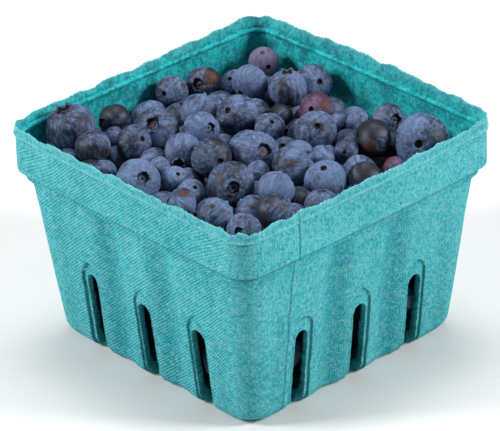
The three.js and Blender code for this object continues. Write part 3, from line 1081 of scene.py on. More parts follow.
        # The recess borders, darkened as painted shade.
        border = slotted * smooth(gap, 0, 0.3 * MM) * smooth(-gap, -1.6 * MM, -0.9 * MM)
        return {
            "places": self.turn_out(out, along, z, side),
            "torn": torn,
            "mould": self.mould_place(side, stop, angle, t),
            "inner": is_inner * full,
            # Painted shade lines round the slots and under the band.
            "crease": np.maximum(shade_round_slots, self.band_shadow(z) * ~is_inner),
            # Painted shade in the hollows, near the corners, under the band and on the recess borders.
            "hollow": (self.painted_hollow_shade(rows["hollow"], along, z, angle) + 0.4 * border) * ~is_inner,
            # A painted highlight along the bead under the lip.
            "bead_highlight_and_pale_top": 0.4 * np.exp(-(((z - 74.8 * MM) / (0.3 * MM)) ** 2)) * ~is_inner,
        }

    @staticmethod
    def recess_shade_line(slot: SlotForm, gap: Array, t: Array) -> Array:
        """Painted shade: the dark line along the edge of each recess, where its step stands in shadow.

        Args:
            slot: The slot nearest to each column.
            gap: Distance inside the recess's outline.
            t: Distance up the wall.

        Returns:
            The line's strength.
        """
        line = 0.8 * np.exp(-(((gap - 0.1 * MM) / (0.2 * MM)) ** 2))
        return line * smooth(t, slot.recess_end, slot.recess_end + 3 * MM)

    def band_shadow(self, z: Array) -> Array:
        """The dark line under the band.

        Args:
            z: Height.

        Returns:
            The line's strength.
        """
        bottom = self.form.band_bottom
        return 0.8 * smooth(z, bottom - 2.7 * MM, bottom - 1.6 * MM) * (z < bottom - 0.1 * MM)

    def slot_shade(self, slot: SlotForm, across: Array, t: Array) -> Array:
        """The shade on the inner wall round each opening.

        Args:
            slot: The slot nearest to each column.
            across: Distance from the slot's middle line.
            t: Distance up the wall.

        Returns:
            The shade's strength.
        """
        near = (slot.opening_ratio(across, t)[0] < self.shaded_to) | (t < self.shaded_low)
        return self.shade * (near & (np.abs(across) < slot.recess_half))

    @staticmethod
    def waver(side: Array, along: Array, t: Array) -> Array:
        """How unevenly the recesses' outlines run."""
        places = np.stack([0 * t + side, along, t], -1)
        return 0.22 * MM * lumps(places.reshape(-1, 3), 5 * MM, 2).reshape(t.shape)

    def painted_hollow_shade(self, hollow: Array, along: Array, z: Array, angle: Array) -> Array:
        """Painted shade: the pulp darkened in the hollows, in bands near the corners that have no hollows of
        their own, and under the band.

        Args:
            hollow: How fully the hollows are formed.
            along: Distance along the side.
            z: Height.
            angle: Angle round the corner, 0 on a side.

        Returns:
            How much painted shade falls there.
        """
        form = self.form
        bands = hollow * form.flute(along) * (angle == 0)
        outer = 0.35 * hollow * np.exp(-(((np.abs(along) - form.corner_shade_at) / (3 * MM)) ** 2)) * (angle == 0)
        under = 0.7 * smooth(z, form.body_top - 3 * MM, form.body_top + 2 * MM) * (z < form.band_bottom)
        return np.maximum(bands, outer) + under

    @staticmethod
    def turn_out(out: Array, along: Array, z: Array, side: Array) -> Array:
        """Places from distances out of and along each side.

        Args:
            out: Distance out of the middle.
            along: Distance along the side.
            z: Height.
            side: The side that each column is on.

        Returns:
            Places, three numbers each.
        """
        cosine = np.array([1, 0, -1, 0])[side]
        sine = np.array([0, 1, 0, -1])[side]
        return np.stack([out * cosine - along * sine, out * sine + along * cosine, z + 0 * along], -1)

    def mould_place(self, side: Array, stop: Array, angle: Array, t: Array) -> Array:
        """Distance round the wall, distance up it and the twill's share, for the screen's mark.

        Args:
            side: The side that each column is on.
            stop: Each column's place on the flat sheet.
            angle: Angle round the corner, 0 on a side.
            t: Distance up the wall.

        Returns:
            Three numbers for each point.
        """
        quarter = (side + 2) % SIDES
        if_last = np.arange(side.shape[1])[None, :] == side.shape[1] - 1
        length = 2 * self.reach + self.form.body_top_corner * QUARTER
        start = quarter * length + SIDES * length * if_last
        around = start + stop + self.reach + self.form.body_top_corner * angle
        twill = np.array(self.twills)
        after = twill[(side + 1) % SIDES]
        share = twill[side] + (after - twill[side]) * smooth(angle, 0, QUARTER)
        return np.stack([around + 0 * t, t, share + 0 * t], -1)

    def tear_slots(self, slot: SlotForm, along: Array, t: Array, allowed: Array, inner: Array) -> tuple:
        """Marks what the slots tear away and draws the sheet's edge onto their outlines.

        Args:
            slot: The slot nearest to each column.
            along: Distance along the side at each point of the sheet.
            t: Distance up the wall at each point.
            allowed: Whether a point may be torn away.
            inner: 1 on the inner wall, whose edge is more ragged.

        Returns:
            Whether each quad is torn away, the distance from the slot's middle, and the distance up the
            wall after the edge is drawn on.
        """
        across = along - slot.middle
        ratio, base = slot.opening_ratio(across, t)
        height, width = t.shape[0] - 1, t.shape[1] - 1
        corners = [np.s_[a : a + height, b : b + width] for a in (0, 1) for b in (0, 1)]
        whole = np.all([allowed[corner] for corner in corners], axis=0)
        torn = whole & (sum(ratio[corner] for corner in corners) / SIDES < 1)
        touched = np.zeros_like(t)
        for corner in corners:
            touched[corner] += torn
        edge = (touched > 0) & (touched < SIDES)
        places = np.stack([along, t, inner * 0.02 + 0 * t + slot.open_top], -1)
        ragged = np.zeros_like(t)
        ragged[edge] = lumps(places[edge], 1.5 * MM, 3) * (0.05 + 0.07 * (inner * edge)[edge])
        scale = np.where(edge, (1 + ragged) / np.maximum(ratio, 0.3), 1.0)
        return torn, across * scale, base + (t - base) * scale

    def build(self) -> bpy.types.Object:
        """Makes the shell.

        Returns:
            The closed shell with its slots open.
        """
        self.lay_columns()
        self.lay_rows()
        pressed = self.press()
        rows, columns = pressed["inner"].shape
        bpy.ops.object.select_all(action="DESELECT")
        bpy.ops.mesh.primitive_grid_add(x_subdivisions=columns - 1, y_subdivisions=rows - 1, size=2)
        piece = bpy.context.object
        piece.name = piece.data.name = "punnet_wall"
        flat = points_of(piece)
        column = np.rint((flat[:, 0] + 1) / 2 * (columns - 1)).astype(int)
        row = np.rint((flat[:, 1] + 1) / 2 * (rows - 1)).astype(int)
        set_points(piece, pressed["places"][row, column])
        paint(piece, "mould_place", pressed["mould"][row, column])
        for name in ("inner", "crease", "hollow", "bead_highlight_and_pale_top"):
            paint(piece, name, pressed[name][row, column])
        self.open_slots(piece, pressed["torn"], row, column)
        return piece

    def open_slots(self, piece: bpy.types.Object, torn: Array, row: Array, column: Array) -> None:
        """Deletes what is torn away, closes the sheet and joins its two walls round each slot.

        Args:
            piece: The pressed sheet.
            torn: Whether each quad is torn away.
            row: The sheet's row that each vertex is in.
            column: The sheet's column that each vertex is in.
        """
        faces = np.array([face.vertices[:] for face in piece.data.polygons])
        gone = torn[row[faces].min(1), column[faces].min(1)]
        pick(piece)
        self.select_faces(piece, gone)
        bpy.ops.object.mode_set(mode="EDIT")
        bpy.ops.mesh.delete(type="FACE")
        bpy.ops.mesh.select_all(action="SELECT")
        bpy.ops.mesh.remove_doubles(threshold=1e-6)
        bpy.ops.object.mode_set(mode="OBJECT")
        for side, slots in enumerate(self.slots):
            for slot in slots:
                self.join_slot(piece, side, slot)
        bpy.ops.object.mode_set(mode="EDIT")
        bpy.ops.mesh.select_all(action="SELECT")
        bpy.ops.mesh.normals_make_consistent(inside=False)
        bpy.ops.mesh.quads_convert_to_tris(quad_method="SHORTEST_DIAGONAL")
        bpy.ops.object.mode_set(mode="OBJECT")

    @staticmethod
    def select_faces(piece: bpy.types.Object, chosen: Array) -> None:
        """Selects some faces and nothing else.

        Args:
            piece: The piece.
            chosen: Whether each face is chosen.
        """
        mesh = piece.data
        mesh.vertices.foreach_set("select", [False] * len(mesh.vertices))
        mesh.edges.foreach_set("select", [False] * len(mesh.edges))
        mesh.polygons.foreach_set("select", chosen)
        bpy.context.tool_settings.mesh_select_mode = (False, False, True)

    @staticmethod
    def join_slot(piece: bpy.types.Object, side: int, slot: SlotForm) -> None:
        """Joins the outer and the inner wall round one slot.

        Args:
            piece: The sheet, with its slots torn away.
            side: The slot's side.
            slot: The slot.
        """
        mesh = piece.data
        count = np.zeros(len(mesh.edges), int)
        loops = np.empty(len(mesh.loops), int)
        mesh.loops.foreach_get("edge_index", loops)
        np.add.at(count, loops, 1)
        ends = np.empty(len(mesh.edges) * 2, int)
        mesh.edges.foreach_get("vertices", ends)
        spots = points_of(piece)[ends.reshape(-1, 2)].mean(1)
        turn = Matrix.Rotation(-side * QUARTER, 3, "Z")
        local = spots @ np.array(turn).T
        near = (np.abs(local[:, 1] - slot.middle) < slot.recess_half) & (local[:, 0] > 30 * MM)
        chosen = (count == 1) & near
        mesh.vertices.foreach_set("select", [False] * len(mesh.vertices))
        mesh.polygons.foreach_set("select", [False] * len(mesh.polygons))
        mesh.edges.foreach_set("select", chosen)
        bpy.context.tool_settings.mesh_select_mode = (False, True, False)
        bpy.ops.object.mode_set(mode="EDIT")
        bpy.ops.mesh.bridge_edge_loops(number_cuts=2)
        bpy.ops.object.mode_set(mode="OBJECT")

    def roughen(self, piece: bpy.types.Object) -> None:
        """Gives the pulp its uneven surface: slack in the wall, and lumps that are coarser inside.

        Args:
            piece: The shell.
        """
        places, normals = points_of(piece), normals_of(piece)
        inner = read_paint(piece, "inner", 1)[:, 0]
        slack = 0.22 * MM * lumps(places, 26 * MM, 2)
        grain = (0.05 * MM + 0.14 * MM * inner) * lumps(places, 2.6 * MM, 3, 5.0)
        lift = np.where(places[:, 2] < MM, 0, slack + grain)
        set_points(piece, self.form.keep_inside(places + normals * lift[:, None]))


@dataclass
class TornRim:
    """The thin lip above the band, with its torn edge."""

    form: PunnetForm
    top_limit: float
    step: float = 0.34 * MM
    root: float = 74.55 * MM
    bead: float = 0.32 * MM
    lean: float = 0.5 * MM
    levels: tuple = (0.0, 0.12, 0.2, 0.3, 0.45, 0.62, 0.78, 0.9, 0.97)

    def ring(self) -> tuple[Array, Array, Array, Array]:
        """Points round the rim's middle line.

        Returns:
            Places in the plane, directions out of the rim, how far round it each lies, 0 to 1, and the
            distance round it in metres.
        """
        form = self.form
        quarter_columns = form.side_columns + form.corner_columns
        straight = form.rim_half - form.rim_corner
        arc = form.rim_corner * QUARTER
        points, outs, turns = [], [], []
        for side in range(SIDES):
            turn = Matrix.Rotation(side * QUARTER, 3, "Z")
            for along in np.arange(-straight, straight, self.step):
                share = along / straight
                bow = form.side_bow * (1 - share * share)
                points.append(turn @ Vector((form.rim_half + bow, along, 0)))
                outs.append(turn @ Vector((1, 0, 0)))
                turns.append((side + form.side_columns / quarter_columns * (share + 1) / 2) / SIDES)
            for length in np.arange(0, arc, self.step):
                angle = length / form.rim_corner
                reach = Vector((math.cos(angle), math.sin(angle), 0))
                points.append(turn @ (Vector((straight, straight, 0)) + reach * form.rim_corner))
                outs.append(turn @ reach)
                columns = form.side_columns + form.corner_columns * length / arc
                turns.append((side + columns / quarter_columns) / SIDES)
        ring = np.array(points)
        steps = np.linalg.norm(np.diff(ring, axis=0), axis=1)
        return ring, np.array(outs), np.array(turns), np.concatenate([[0], np.cumsum(steps)])

    def build(self) -> bpy.types.Object:
        """Makes the lip as a closed ring with a torn top.

        Returns:
            The lip.
        """
        ring, outs, turns, distance = self.ring()
        flat = np.stack([ring[:, 0], ring[:, 1], 0 * turns], -1)
        top = self.torn_top(flat, turns)
        profile = self.profile(flat)
        rows = []
        for level, out in profile:
            height = self.root + (top - self.root) * level
            place = ring + outs * np.broadcast_to(out, turns.shape)[:, None]
            rows.append(np.stack([place[:, 0], place[:, 1], height], -1))
        piece = self.close(np.array(rows))
        self.paint_lip(piece, [level for level, _ in profile], distance)
        normals = normals_of(piece)
        places = points_of(piece)
        rough = 0.11 * MM * lumps(places, 1.1 * MM, 3, 2.0)
        set_points(piece, self.form.keep_inside(places + normals * rough[:, None]))
        return piece

    def torn_top(self, flat: Array, turns: Array) -> Array:
        """Height of the torn edge round the rim.

        Args:
            flat: Places round the rim, at height 0.
            turns: How far round the rim each lies, 0 to 1.

        Returns:
            The height at each place.
        """
        tear = 0.3 * MM * lumps(flat, 0.9 * MM, 3, 3.0) + 0.26 * MM * lumps(flat, 2.9 * MM, 3, 6.0)
        tear = tear + 0.4 * MM * lumps(flat, 8 * MM, 2, 8.0)
        top = self.form.height + self.form.rim_lift(turns) + tear
        return np.minimum(top, self.top_limit - 0.1 * MM)

    def profile(self, flat: Array) -> list[tuple[float, Array]]:
        """The lip's cross-section, up its outside and down its inside.

        Args:
            flat: Places round the rim, at height 0.

        Returns:
            Each ring's share of the lip's height, and how far out of the rim's line it runs.
        """
        sway = self.lean * (0.5 + 0.5 * lumps(flat, 14 * MM, 2, 1.0))
        thin = self.form.lip_wall * (0.42 + 0.16 * lumps(flat, 3 * MM, 2, 6.0))
        rings = []
        for level in self.levels:
            bead = self.bead * math.exp(-(((level - 0.16) / 0.1) ** 2))
            rings.append((level, bead - sway * level**1.3))
        for level in reversed(self.levels):
            wall = self.form.lip_wall + (thin - self.form.lip_wall) * smooth(level, 0.3, 1.0)
            rings.append((level, -wall - sway * level**1.3))
        return rings

    def paint_lip(self, piece: bpy.types.Object, levels: list[float], distance: Array) -> None:
        """Paints the values that the pulp's material reads.

        Args:
            piece: The lip.
            levels: Each ring's share of the lip's height.
            distance: How far round the rim each column lies.
        """
        inner = np.repeat(np.arange(len(levels)) >= len(self.levels), len(distance)).astype(float)
        around = np.tile(distance, len(levels))
        level = np.repeat(levels, len(distance))
        # The bead outside gets a painted highlight; the lip is painted paler towards its torn top.
        bead = np.exp(-(((level - 0.14) / 0.1) ** 2))
        paint(piece, "mould_place", np.stack([around, points_of(piece)[:, 2], 0 * around + 0.3], -1))
        paint(piece, "inner", inner * 0.75)
        # No painted shade lines on the lip.
        paint(piece, "crease", 0 * inner)
        paint(piece, "hollow", 0 * inner)
        paint(piece, "bead_highlight_and_pale_top", np.maximum(0.45 * bead * (1 - inner), 0.3 * smooth(level, 0.6, 1.0)))

    @staticmethod
    def close(rows: Array) -> bpy.types.Object:
        """Joins rings of points into one closed ring-shaped piece.

        Args:
            rows: The rings, one line of points each.

        Returns:
            The piece.
        """
        count, width = rows.shape[:2]
        row, column = np.meshgrid(np.arange(count), np.arange(width), indexing="ij")
        after_row, after_column = (row + 1) % count, (column + 1) % width
        corners = ((row, column), (row, after_column), (after_row, after_column), (after_row, column))
        faces = np.stack([(a * width + b).ravel() for a, b in corners], -1)
        return new_piece("torn_rim", rows.reshape(-1, 3), faces.tolist())


@dataclass
class LooseFibres:
    """Hair-thin paper fibres that stand out of the torn rim."""

    rim: TornRim
    count: int = 1300
    thickness: float = 0.045 * MM
    length: tuple = (0.4, 1.9)
    sides: int = 3
    steps: int = 4

    def build(self, seed: int = 11) -> bpy.types.Object:
        """Makes all fibres as one piece.

        Args:
            seed: Starts the draws.

        Returns:
            The fibres.
        """
        rng = np.random.default_rng(seed)
        ring, outs, turns, _ = self.rim.ring()
        lift = self.rim.form.rim_lift(turns)
        points, faces = [], []
        for _ in range(self.count):
            at = int(rng.integers(len(turns)))
            root = Vector(ring[at]) - Vector(outs[at]) * float(rng.uniform(0.2, 1.0)) * MM
            root.z = self.rim.form.height + lift[at] - 0.5 * MM
            out = Vector(outs[at])
            side = out.cross(Vector((0, 0, 1)))
            heading = Vector((0, 0, 1)) + side * rng.normal(0, 1.1) - out * float(rng.uniform(-0.2, 0.8))
            curl = side * rng.normal(0, 0.8) + Vector((0, 0, rng.normal(-0.3, 0.5)))
            length = float(rng.uniform(*self.length)) * MM * float(rng.uniform(0.5, 1.0))
            self.add_fibre(points, faces, root, heading.normalized(), curl, length)
        places = np.array(points)
        places[:, 2] = np.minimum(places[:, 2], self.rim.top_limit - 0.05 * MM)
        limit = self.rim.form.rim_half + self.rim.form.side_bow
        places[:, :2] = np.clip(places[:, :2], -limit, limit)
        return new_piece("rim_fibres", places, faces)

    def add_fibre(self, points: list, faces: list, root: Vector, heading: Vector, curl: Vector,
                  length: float) -> None:
        """Adds one curved fibre that thins towards its end.

        Args:
            points: The points so far, added to.
            faces: The faces so far, added to.
            root: Where the fibre starts.
            heading: Its direction there.
            curl: Which way it bends.
            length: Its length.
        """
        first = len(points)
        side = heading.orthogonal().normalized()
        other = heading.cross(side)
        for step in range(self.steps + 1):
            share = step / self.steps
            middle = root + heading * (length * share) + curl * (0.5 * length * share * share)
            radius = self.thickness * (1 - 0.7 * share)
            for corner in range(self.sides):
                angle = 2 * math.pi * corner / self.sides
                points.append(middle + (side * math.cos(angle) + other * math.sin(angle)) * radius)
        for step in range(self.steps):
            for corner in range(self.sides):
                low = first + step * self.sides
                after = (corner + 1) % self.sides
                above = low + self.sides
                faces.append((low + corner, low + after, above + after, above + corner))
        last = first + self.steps * self.sides
        faces.append(tuple(first + corner for corner in reversed(range(self.sides))))
        faces.append(tuple(last + corner for corner in range(self.sides)))


class Skin(Enum):
    """The kinds of berry skin that show."""

    BLOOMED = "bloomed_berries"
    RUBBED = "rubbed_berries"
    BLUSHED = "blushed_berries"
    LOWER = "lower_berries"


@dataclass(frozen=True)
class SeenBerry:
    """A showing berry, by where it lies in the picture.

    Pixels are in the 500 by 431 picture. Sizes are in millimetres.
    """

    u: float
    v: float
    across: float
    behind: float = 0.0
    skin: Skin = Skin.BLOOMED
    bloom: float = 0.6
    brown: float = 0.2
    crown: tuple | None = None
    scar: tuple | None = None
    mark: tuple | None = None
    raw: float = 1.0
    heart: float = 0.0
    crack_end: tuple | None = None


SEEN = (
    SeenBerry(71, 127, 16.6, bloom=0.45, brown=0.25, crown=(62, 106)),
    SeenBerry(115, 121, 11.3, bloom=0.4, brown=0.5, crown=(101, 125)),
    SeenBerry(93, 147, 12.1, skin=Skin.RUBBED, bloom=0.35, brown=0.8),
    SeenBerry(114, 139, 8.6, 8, bloom=0.7),
    SeenBerry(157, 129, 14.9, bloom=0.5, brown=0.35, crown=(151, 124), heart=1.0),
    SeenBerry(134.5, 143, 11.8, skin=Skin.RUBBED, bloom=0.4, brown=0.4, scar=(144.5, 139)),
    SeenBerry(171, 91.5, 11.3, bloom=0.6, scar=(163, 94), mark=(183, 85, 1.3)),
    SeenBerry(204, 84, 12.2, bloom=0.35, brown=0.6, crown=(197, 85), mark=(213, 78, 3.6)),
    SeenBerry(236, 85, 10.8, 5, bloom=0.65, scar=(228, 78)),
    SeenBerry(250, 83, 12.9, bloom=0.75, brown=0.05, mark=(244, 64, 1.1)),
    SeenBerry(264, 62.5, 11.3, skin=Skin.BLUSHED, bloom=0.9, brown=0.25, scar=(269, 68),
              mark=(262, 52, 1.0)),
    SeenBerry(288, 89, 13.5, bloom=0.65, brown=0.15, crown=(287, 70)),
    SeenBerry(313, 84.5, 13.8, bloom=0.65, scar=(321, 81)),
    SeenBerry(317, 110, 12, skin=Skin.BLUSHED, bloom=0.5, brown=0.55, scar=(311, 108.5),
              mark=(324, 103, 2.0)),
    SeenBerry(316, 131.5, 14.2, bloom=0.6, brown=0.1, scar=(317, 124.5)),
    SeenBerry(236.5, 115, 14.2, bloom=0.65, scar=(225, 109), mark=(224.5, 129, 0.6)),
    SeenBerry(200, 112, 12.7, bloom=0.75, brown=0.05),
    SeenBerry(201, 129, 11.9, bloom=0.75, crown=(212, 127)),
    SeenBerry(270, 128, 10.2, 3, bloom=0.6, scar=(272.5, 120.5)),
    SeenBerry(281, 116, 8.6, 8, skin=Skin.RUBBED, bloom=0.3),
    SeenBerry(183.5, 151, 12.6, bloom=0.8, brown=0.05, crown=(180, 165)),
    SeenBerry(211, 157.5, 13.5, skin=Skin.RUBBED, bloom=0.4, brown=0.75, scar=(221, 161)),
    SeenBerry(257, 154.5, 15.2, bloom=0.8, brown=0.1, crown=(267, 149), heart=1.0,
              mark=(271, 160, 0.9), raw=0.0),
    SeenBerry(292, 167, 14.2, bloom=0.65, brown=0.3, mark=(293.6, 162, 1.1)),
    SeenBerry(346.5, 151, 8, 4, bloom=0.5, scar=(343, 153)),
    SeenBerry(320.5, 159, 9.3, 4, bloom=0.7),
    SeenBerry(359, 124.5, 9.2, 3, bloom=0.55),
    SeenBerry(372.5, 138, 13.4, skin=Skin.RUBBED, bloom=0.12, brown=0.3, mark=(370, 147, 2.6), raw=0.8),
    SeenBerry(388, 120, 11.1, bloom=0.6, crown=(397, 120)),
    SeenBerry(421, 141, 18.3, bloom=0.7, brown=0.25, scar=(419, 146)),
    SeenBerry(395, 170, 8.7, skin=Skin.BLUSHED, bloom=0.35, brown=1.0),
    SeenBerry(364.5, 179, 11.7, skin=Skin.RUBBED, bloom=0.12, brown=0.75),
    SeenBerry(326, 180, 13.5, bloom=0.85, brown=0.05, scar=(322, 167)),
    SeenBerry(322, 205, 11.7, bloom=0.55, brown=0.35),
    SeenBerry(276, 189.5, 12.1, bloom=0.9, brown=0.05),
    SeenBerry(275, 214, 13.3, skin=Skin.RUBBED, bloom=0.3, brown=0.7, mark=(282, 223, 1.1)),
    SeenBerry(231, 185, 15.5, skin=Skin.RUBBED, bloom=0.4, brown=0.35, crown=(236, 189),
              mark=(229, 195, 1.0)),
    SeenBerry(244, 230, 10.8, bloom=0.6, brown=0.3, crown=(238, 231)),
    SeenBerry(244.5, 220, 7.6, 5, bloom=0.8),
    SeenBerry(215.5, 217, 12.4, bloom=0.6, brown=0.25, mark=(213, 206, 1.1), raw=0.0),
    SeenBerry(180.5, 205, 11.2, bloom=0.65, brown=0.35, scar=(165, 199), mark=(184, 192, 1.9)),
    SeenBerry(191, 192.5, 9.4, 3, bloom=0.7, scar=(196, 186)),
    SeenBerry(174.5, 179, 9.1, 3, bloom=0.75, scar=(178, 172)),
    SeenBerry(159.5, 169, 8.4, 4, skin=Skin.RUBBED, bloom=0.4, brown=0.4),
    SeenBerry(138, 182, 14.8, bloom=0.88, brown=0.05, crown=(146, 177), mark=(119, 174, 0.22), raw=0.0,
              crack_end=(139, 177)),
    SeenBerry(102.5, 172.5, 9.4, bloom=0.6),
    SeenBerry(215, 106, 8, 6, bloom=0.6),
    SeenBerry(337.5, 123, 7.9, 6, bloom=0.4),
    SeenBerry(258, 173, 8.4, 6, bloom=0.85),
)


@dataclass(frozen=True)
class Picture:
    """Where the picture was taken from. Angles in degrees, lengths in metres."""

    azimuth: float = 47.7
    elevation: float = 28.7
    roll: float = -1.9
    distance: float = 1.2
    focal_pixels: float = 3625.0
    width: float = 500.0
    height: float = 431.0
    aim_across: float = -1.1 * MM
    aim_height: float = 42.6 * MM

    @property
    def back(self) -> Vector:
        """Direction from the punnet to the camera.

        Returns:
            A unit vector.
        """
        azimuth, elevation = math.radians(self.azimuth), math.radians(self.elevation)
        level = math.cos(elevation)
        return Vector((math.sin(azimuth) * level, -math.cos(azimuth) * level, math.sin(elevation)))

    @property
    def right(self) -> Vector:
        """Direction to the right in the picture, before its roll."""
        return Vector((0, 0, 1)).cross(self.back).normalized()

    @property
    def eye(self) -> Vector:
        """Where the camera stands."""
        return self.right * self.aim_across + Vector((0, 0, self.aim_height)) + self.back * self.distance

    def line(self, u: float, v: float) -> Vector:
        """Direction of the line of sight through a place in the picture.

        Args:
            u: Pixels from the picture's left edge.
            v: Pixels from its top edge.

        Returns:
            The direction, of length 1 along the camera's axis.
        """
        cosine, sine = math.cos(math.radians(self.roll)), math.sin(math.radians(self.roll))
        aside, below = u - self.width / 2, v - self.height / 2
        across = aside * cosine + below * sine
        down = below * cosine - aside * sine
        up = self.back.cross(self.right)
        return -self.back + self.right * (across / self.focal_pixels) - up * (down / self.focal_pixels)


@dataclass(eq=False)
class Laid:
    """A berry in its place in the heap."""

    radius: float
    line: Vector = field(default_factory=Vector)
    depth: float = 0.0
    first: float = 0.0
    place: Vector = field(default_factory=Vector)
    seen: SeenBerry | None = None


@dataclass
class HeapPlan:
    """Where every berry of the heap lies."""

    form: PunnetForm
    picture: Picture
    middle_height: float = 72 * MM
    near_rise: float = 3.5 * MM
    edge_fall: float = 4 * MM
    edge_power: float = 4
    clearance: float = 0.45 * MM
    touch: float = 0.95
    level_passes: int = 6
    settle_passes: int = 300
    near_line: float = 0.02
    depth_step: float = 0.25 * MM
    depth_reach: float = 30 * MM
    fill_tries: int = 9000
    fill_across: tuple = (13, 8.5)
    fill_drop: tuple = (2.5, 6.5)
    fill_edge_fall: float = 6 * MM
    fill_edge_power: float = 6
    fill_touch: float = 0.86
    fill_cover: float = 2.6 * MM
    slot_height: tuple = (14, 19)
    slot_across: tuple = (12, 15)
    slot_aside: tuple = (-2, 2)
    fine_radius: float = 4.6 * MM
    fine_grip: float = 0.95
    coarse_grip: float = 0.83
    core_drop: float = 7 * MM
    bearer_share: float = 0.85
    bearer_inward: float = 0.97
    bearer_touch: float = 0.76

    def heap_height(self, x: float, y: float) -> float:
        """Height of the middles of the top layer of berries.

        Args:
            x: Place along X.
            y: Place along Y.

        Returns:
            The height.
        """
        near = (x - y) / (2 * self.form.rim_half)
        out = max(abs(x), abs(y)) / self.form.rim_half
        return self.middle_height + self.near_rise * near - self.edge_fall * out**self.edge_power

    def room_half(self, z: float) -> float:
        """Half width of the room inside the walls at a height.

        Args:
            z: The height.

        Returns:
            The half width.
        """
        form = self.form
        band = form.band_half - form.wall
        body = form.body_half(min(z, form.body_top)) - form.wall
        return lerp(body, band, float(smooth(z, form.body_top, form.band_bottom + form.lip_depth)))

    def wall_gap(self, place: Vector, radius: float) -> float:
        """How far a berry is from the walls, less than zero where it would cross them.

        Args:
            place: The berry's middle.
            radius: The berry's radius.

        Returns:
            The gap.
        """
        corner = self.form.foot_corner - self.form.wall
        hollow = self.form.flute_depth * float(self.form.flute_share(place.z))
        half = self.room_half(place.z) - hollow - corner
        x, y = abs(place.x) - half, abs(place.y) - half
        outside = math.hypot(max(x, 0), max(y, 0)) + min(max(x, y), 0)
        return corner - outside - radius - self.clearance

    def place_at(self, berry: Laid, depth: float) -> Vector:
        """Middle of a berry at a depth along its line of sight."""
        return self.picture.eye + berry.line * depth

    def clear_depth(self, berry: Laid, wanted: float) -> float:
        """Nearest depth to the wanted one at which a berry is clear of the walls.

        Args:
            berry: The berry.
            wanted: The depth to stay near.

        Returns:
            The depth, or the wanted one if none is clear.
        """
        for step in range(int(self.depth_reach / self.depth_step)):
            for depth in (wanted - step * self.depth_step, wanted + step * self.depth_step):
                if self.wall_gap(self.place_at(berry, depth), berry.radius) >= 0:
                    return depth
        return wanted

    def lay_on_heap(self, seen: SeenBerry) -> Laid:
        """Lays a showing berry on the heap's top, along its own line of sight.

        Args:
            seen: The berry's row in the table.

        Returns:
            The berry in its first place.
        """
        line = self.picture.line(seen.u, seen.v)
        berry = Laid(seen.across / 2 * MM, line, self.picture.distance, seen=seen)
        for _ in range(self.level_passes):
            place = self.place_at(berry, berry.depth)
            berry.depth += (self.heap_height(place.x, place.y) - place.z) / line.z
        berry.depth = self.clear_depth(berry, berry.depth + seen.behind * MM)
        berry.first = berry.depth
        return berry

    def part_pair(self, a: Laid, b: Laid) -> None:
        """Moves two overlapping berries apart along their lines of sight.

        Args:
            a: A berry.
            b: Another berry.
        """
        apart = self.place_at(b, b.depth) - self.place_at(a, a.depth)
        behind = apart.dot(self.picture.back)
        aside = math.sqrt(max(apart.length_squared - behind * behind, 0))
        reach = self.touch * (a.radius + b.radius)
        if aside >= reach:
            return
        lack = math.sqrt(reach * reach - aside * aside) - abs(b.depth - a.depth)
        if lack <= 0:
            return
        order = 1 if b.first >= a.first else -1
        a.depth -= order * lack / 2
        b.depth += order * lack / 2

    def lay_seen(self) -> list[Laid]:
        """The showing berries, moved until none crosses another or a wall.

        Returns:
            The berries in the table's order.
        """
        berries = [self.lay_on_heap(seen) for seen in SEEN]
        for _ in range(self.settle_passes):
            for a, b in combinations(berries, 2):
                aside, above = abs(a.line.x - b.line.x), abs(a.line.z - b.line.z)
                if aside < self.near_line and above < self.near_line:
                    self.part_pair(a, b)
            for berry in berries:
                berry.depth = self.clear_depth(berry, berry.depth)
        for berry in berries:
            berry.place = self.place_at(berry, berry.depth)
        return berries

    def fits(self, berry: Laid, shown: list[Laid], filled: list[Laid]) -> bool:
        """Whether a filling berry keeps clear of the others and leaves the showing ones in sight.

        Args:
            berry: The filling berry.
            shown: The showing berries.
            filled: The filling berries laid so far.

        Returns:
            Whether it may stay.
        """
        if self.wall_gap(berry.place, berry.radius) < 0:
            return False
        for other in shown + filled:
            if (berry.place - other.place).length < self.fill_touch * (berry.radius + other.radius):
                return False
        for other in shown:
            apart = other.place - berry.place
            behind = -apart.dot(self.picture.back)
            aside = math.sqrt(max(apart.length_squared - behind * behind, 0))
            if behind > 0 and aside < other.radius + berry.radius - self.fill_cover:
                return False
        return True

    def lay_filling(self, shown: list[Laid]) -> list[Laid]:
        """Berries tried at evenly scattered places between and under the showing ones.

        Args:
            shown: The showing berries.

        Returns:
            The filling berries.
        """
        filled: list[Laid] = []
        top = self.form.body_top_half
        for index in range(1, self.fill_tries):
            x = top * (2 * scatter(index, 0) - 1)
            y = top * (2 * scatter(index, 1) - 1)
            out = max(abs(x), abs(y)) / top
            fall = self.fill_edge_fall * out**self.fill_edge_power
            drop = lerp(*self.fill_drop, scatter(index, 2)) * MM + fall
            place = Vector((x, y, self.heap_height(x, y) - drop))
            berry = Laid(lerp(*self.fill_across, index / self.fill_tries) / 2 * MM, place=place)
            if self.fits(berry, shown, filled):
                filled.append(berry)
        return filled

    def grip(self, berry: Laid) -> float:
        """How far a berry is firm all round."""
        fine = berry.seen is not None and berry.radius > self.fine_radius
        return berry.radius * (self.fine_grip if fine else self.coarse_grip)

    def is_borne(self, berry: Laid, borne: list[Laid]) -> bool:
        """Whether a berry meets the core or one of the berries that are borne.

        Args:
            berry: The berry.
            borne: The berries that are borne.

        Returns:
            Whether it meets one.
        """
        place = berry.place
        if place.z - self.grip(berry) < self.heap_height(place.x, place.y) - self.core_drop:
            return True
        reach = self.grip(berry)
        return any((place - other.place).length < reach + self.grip(other) for other in borne)

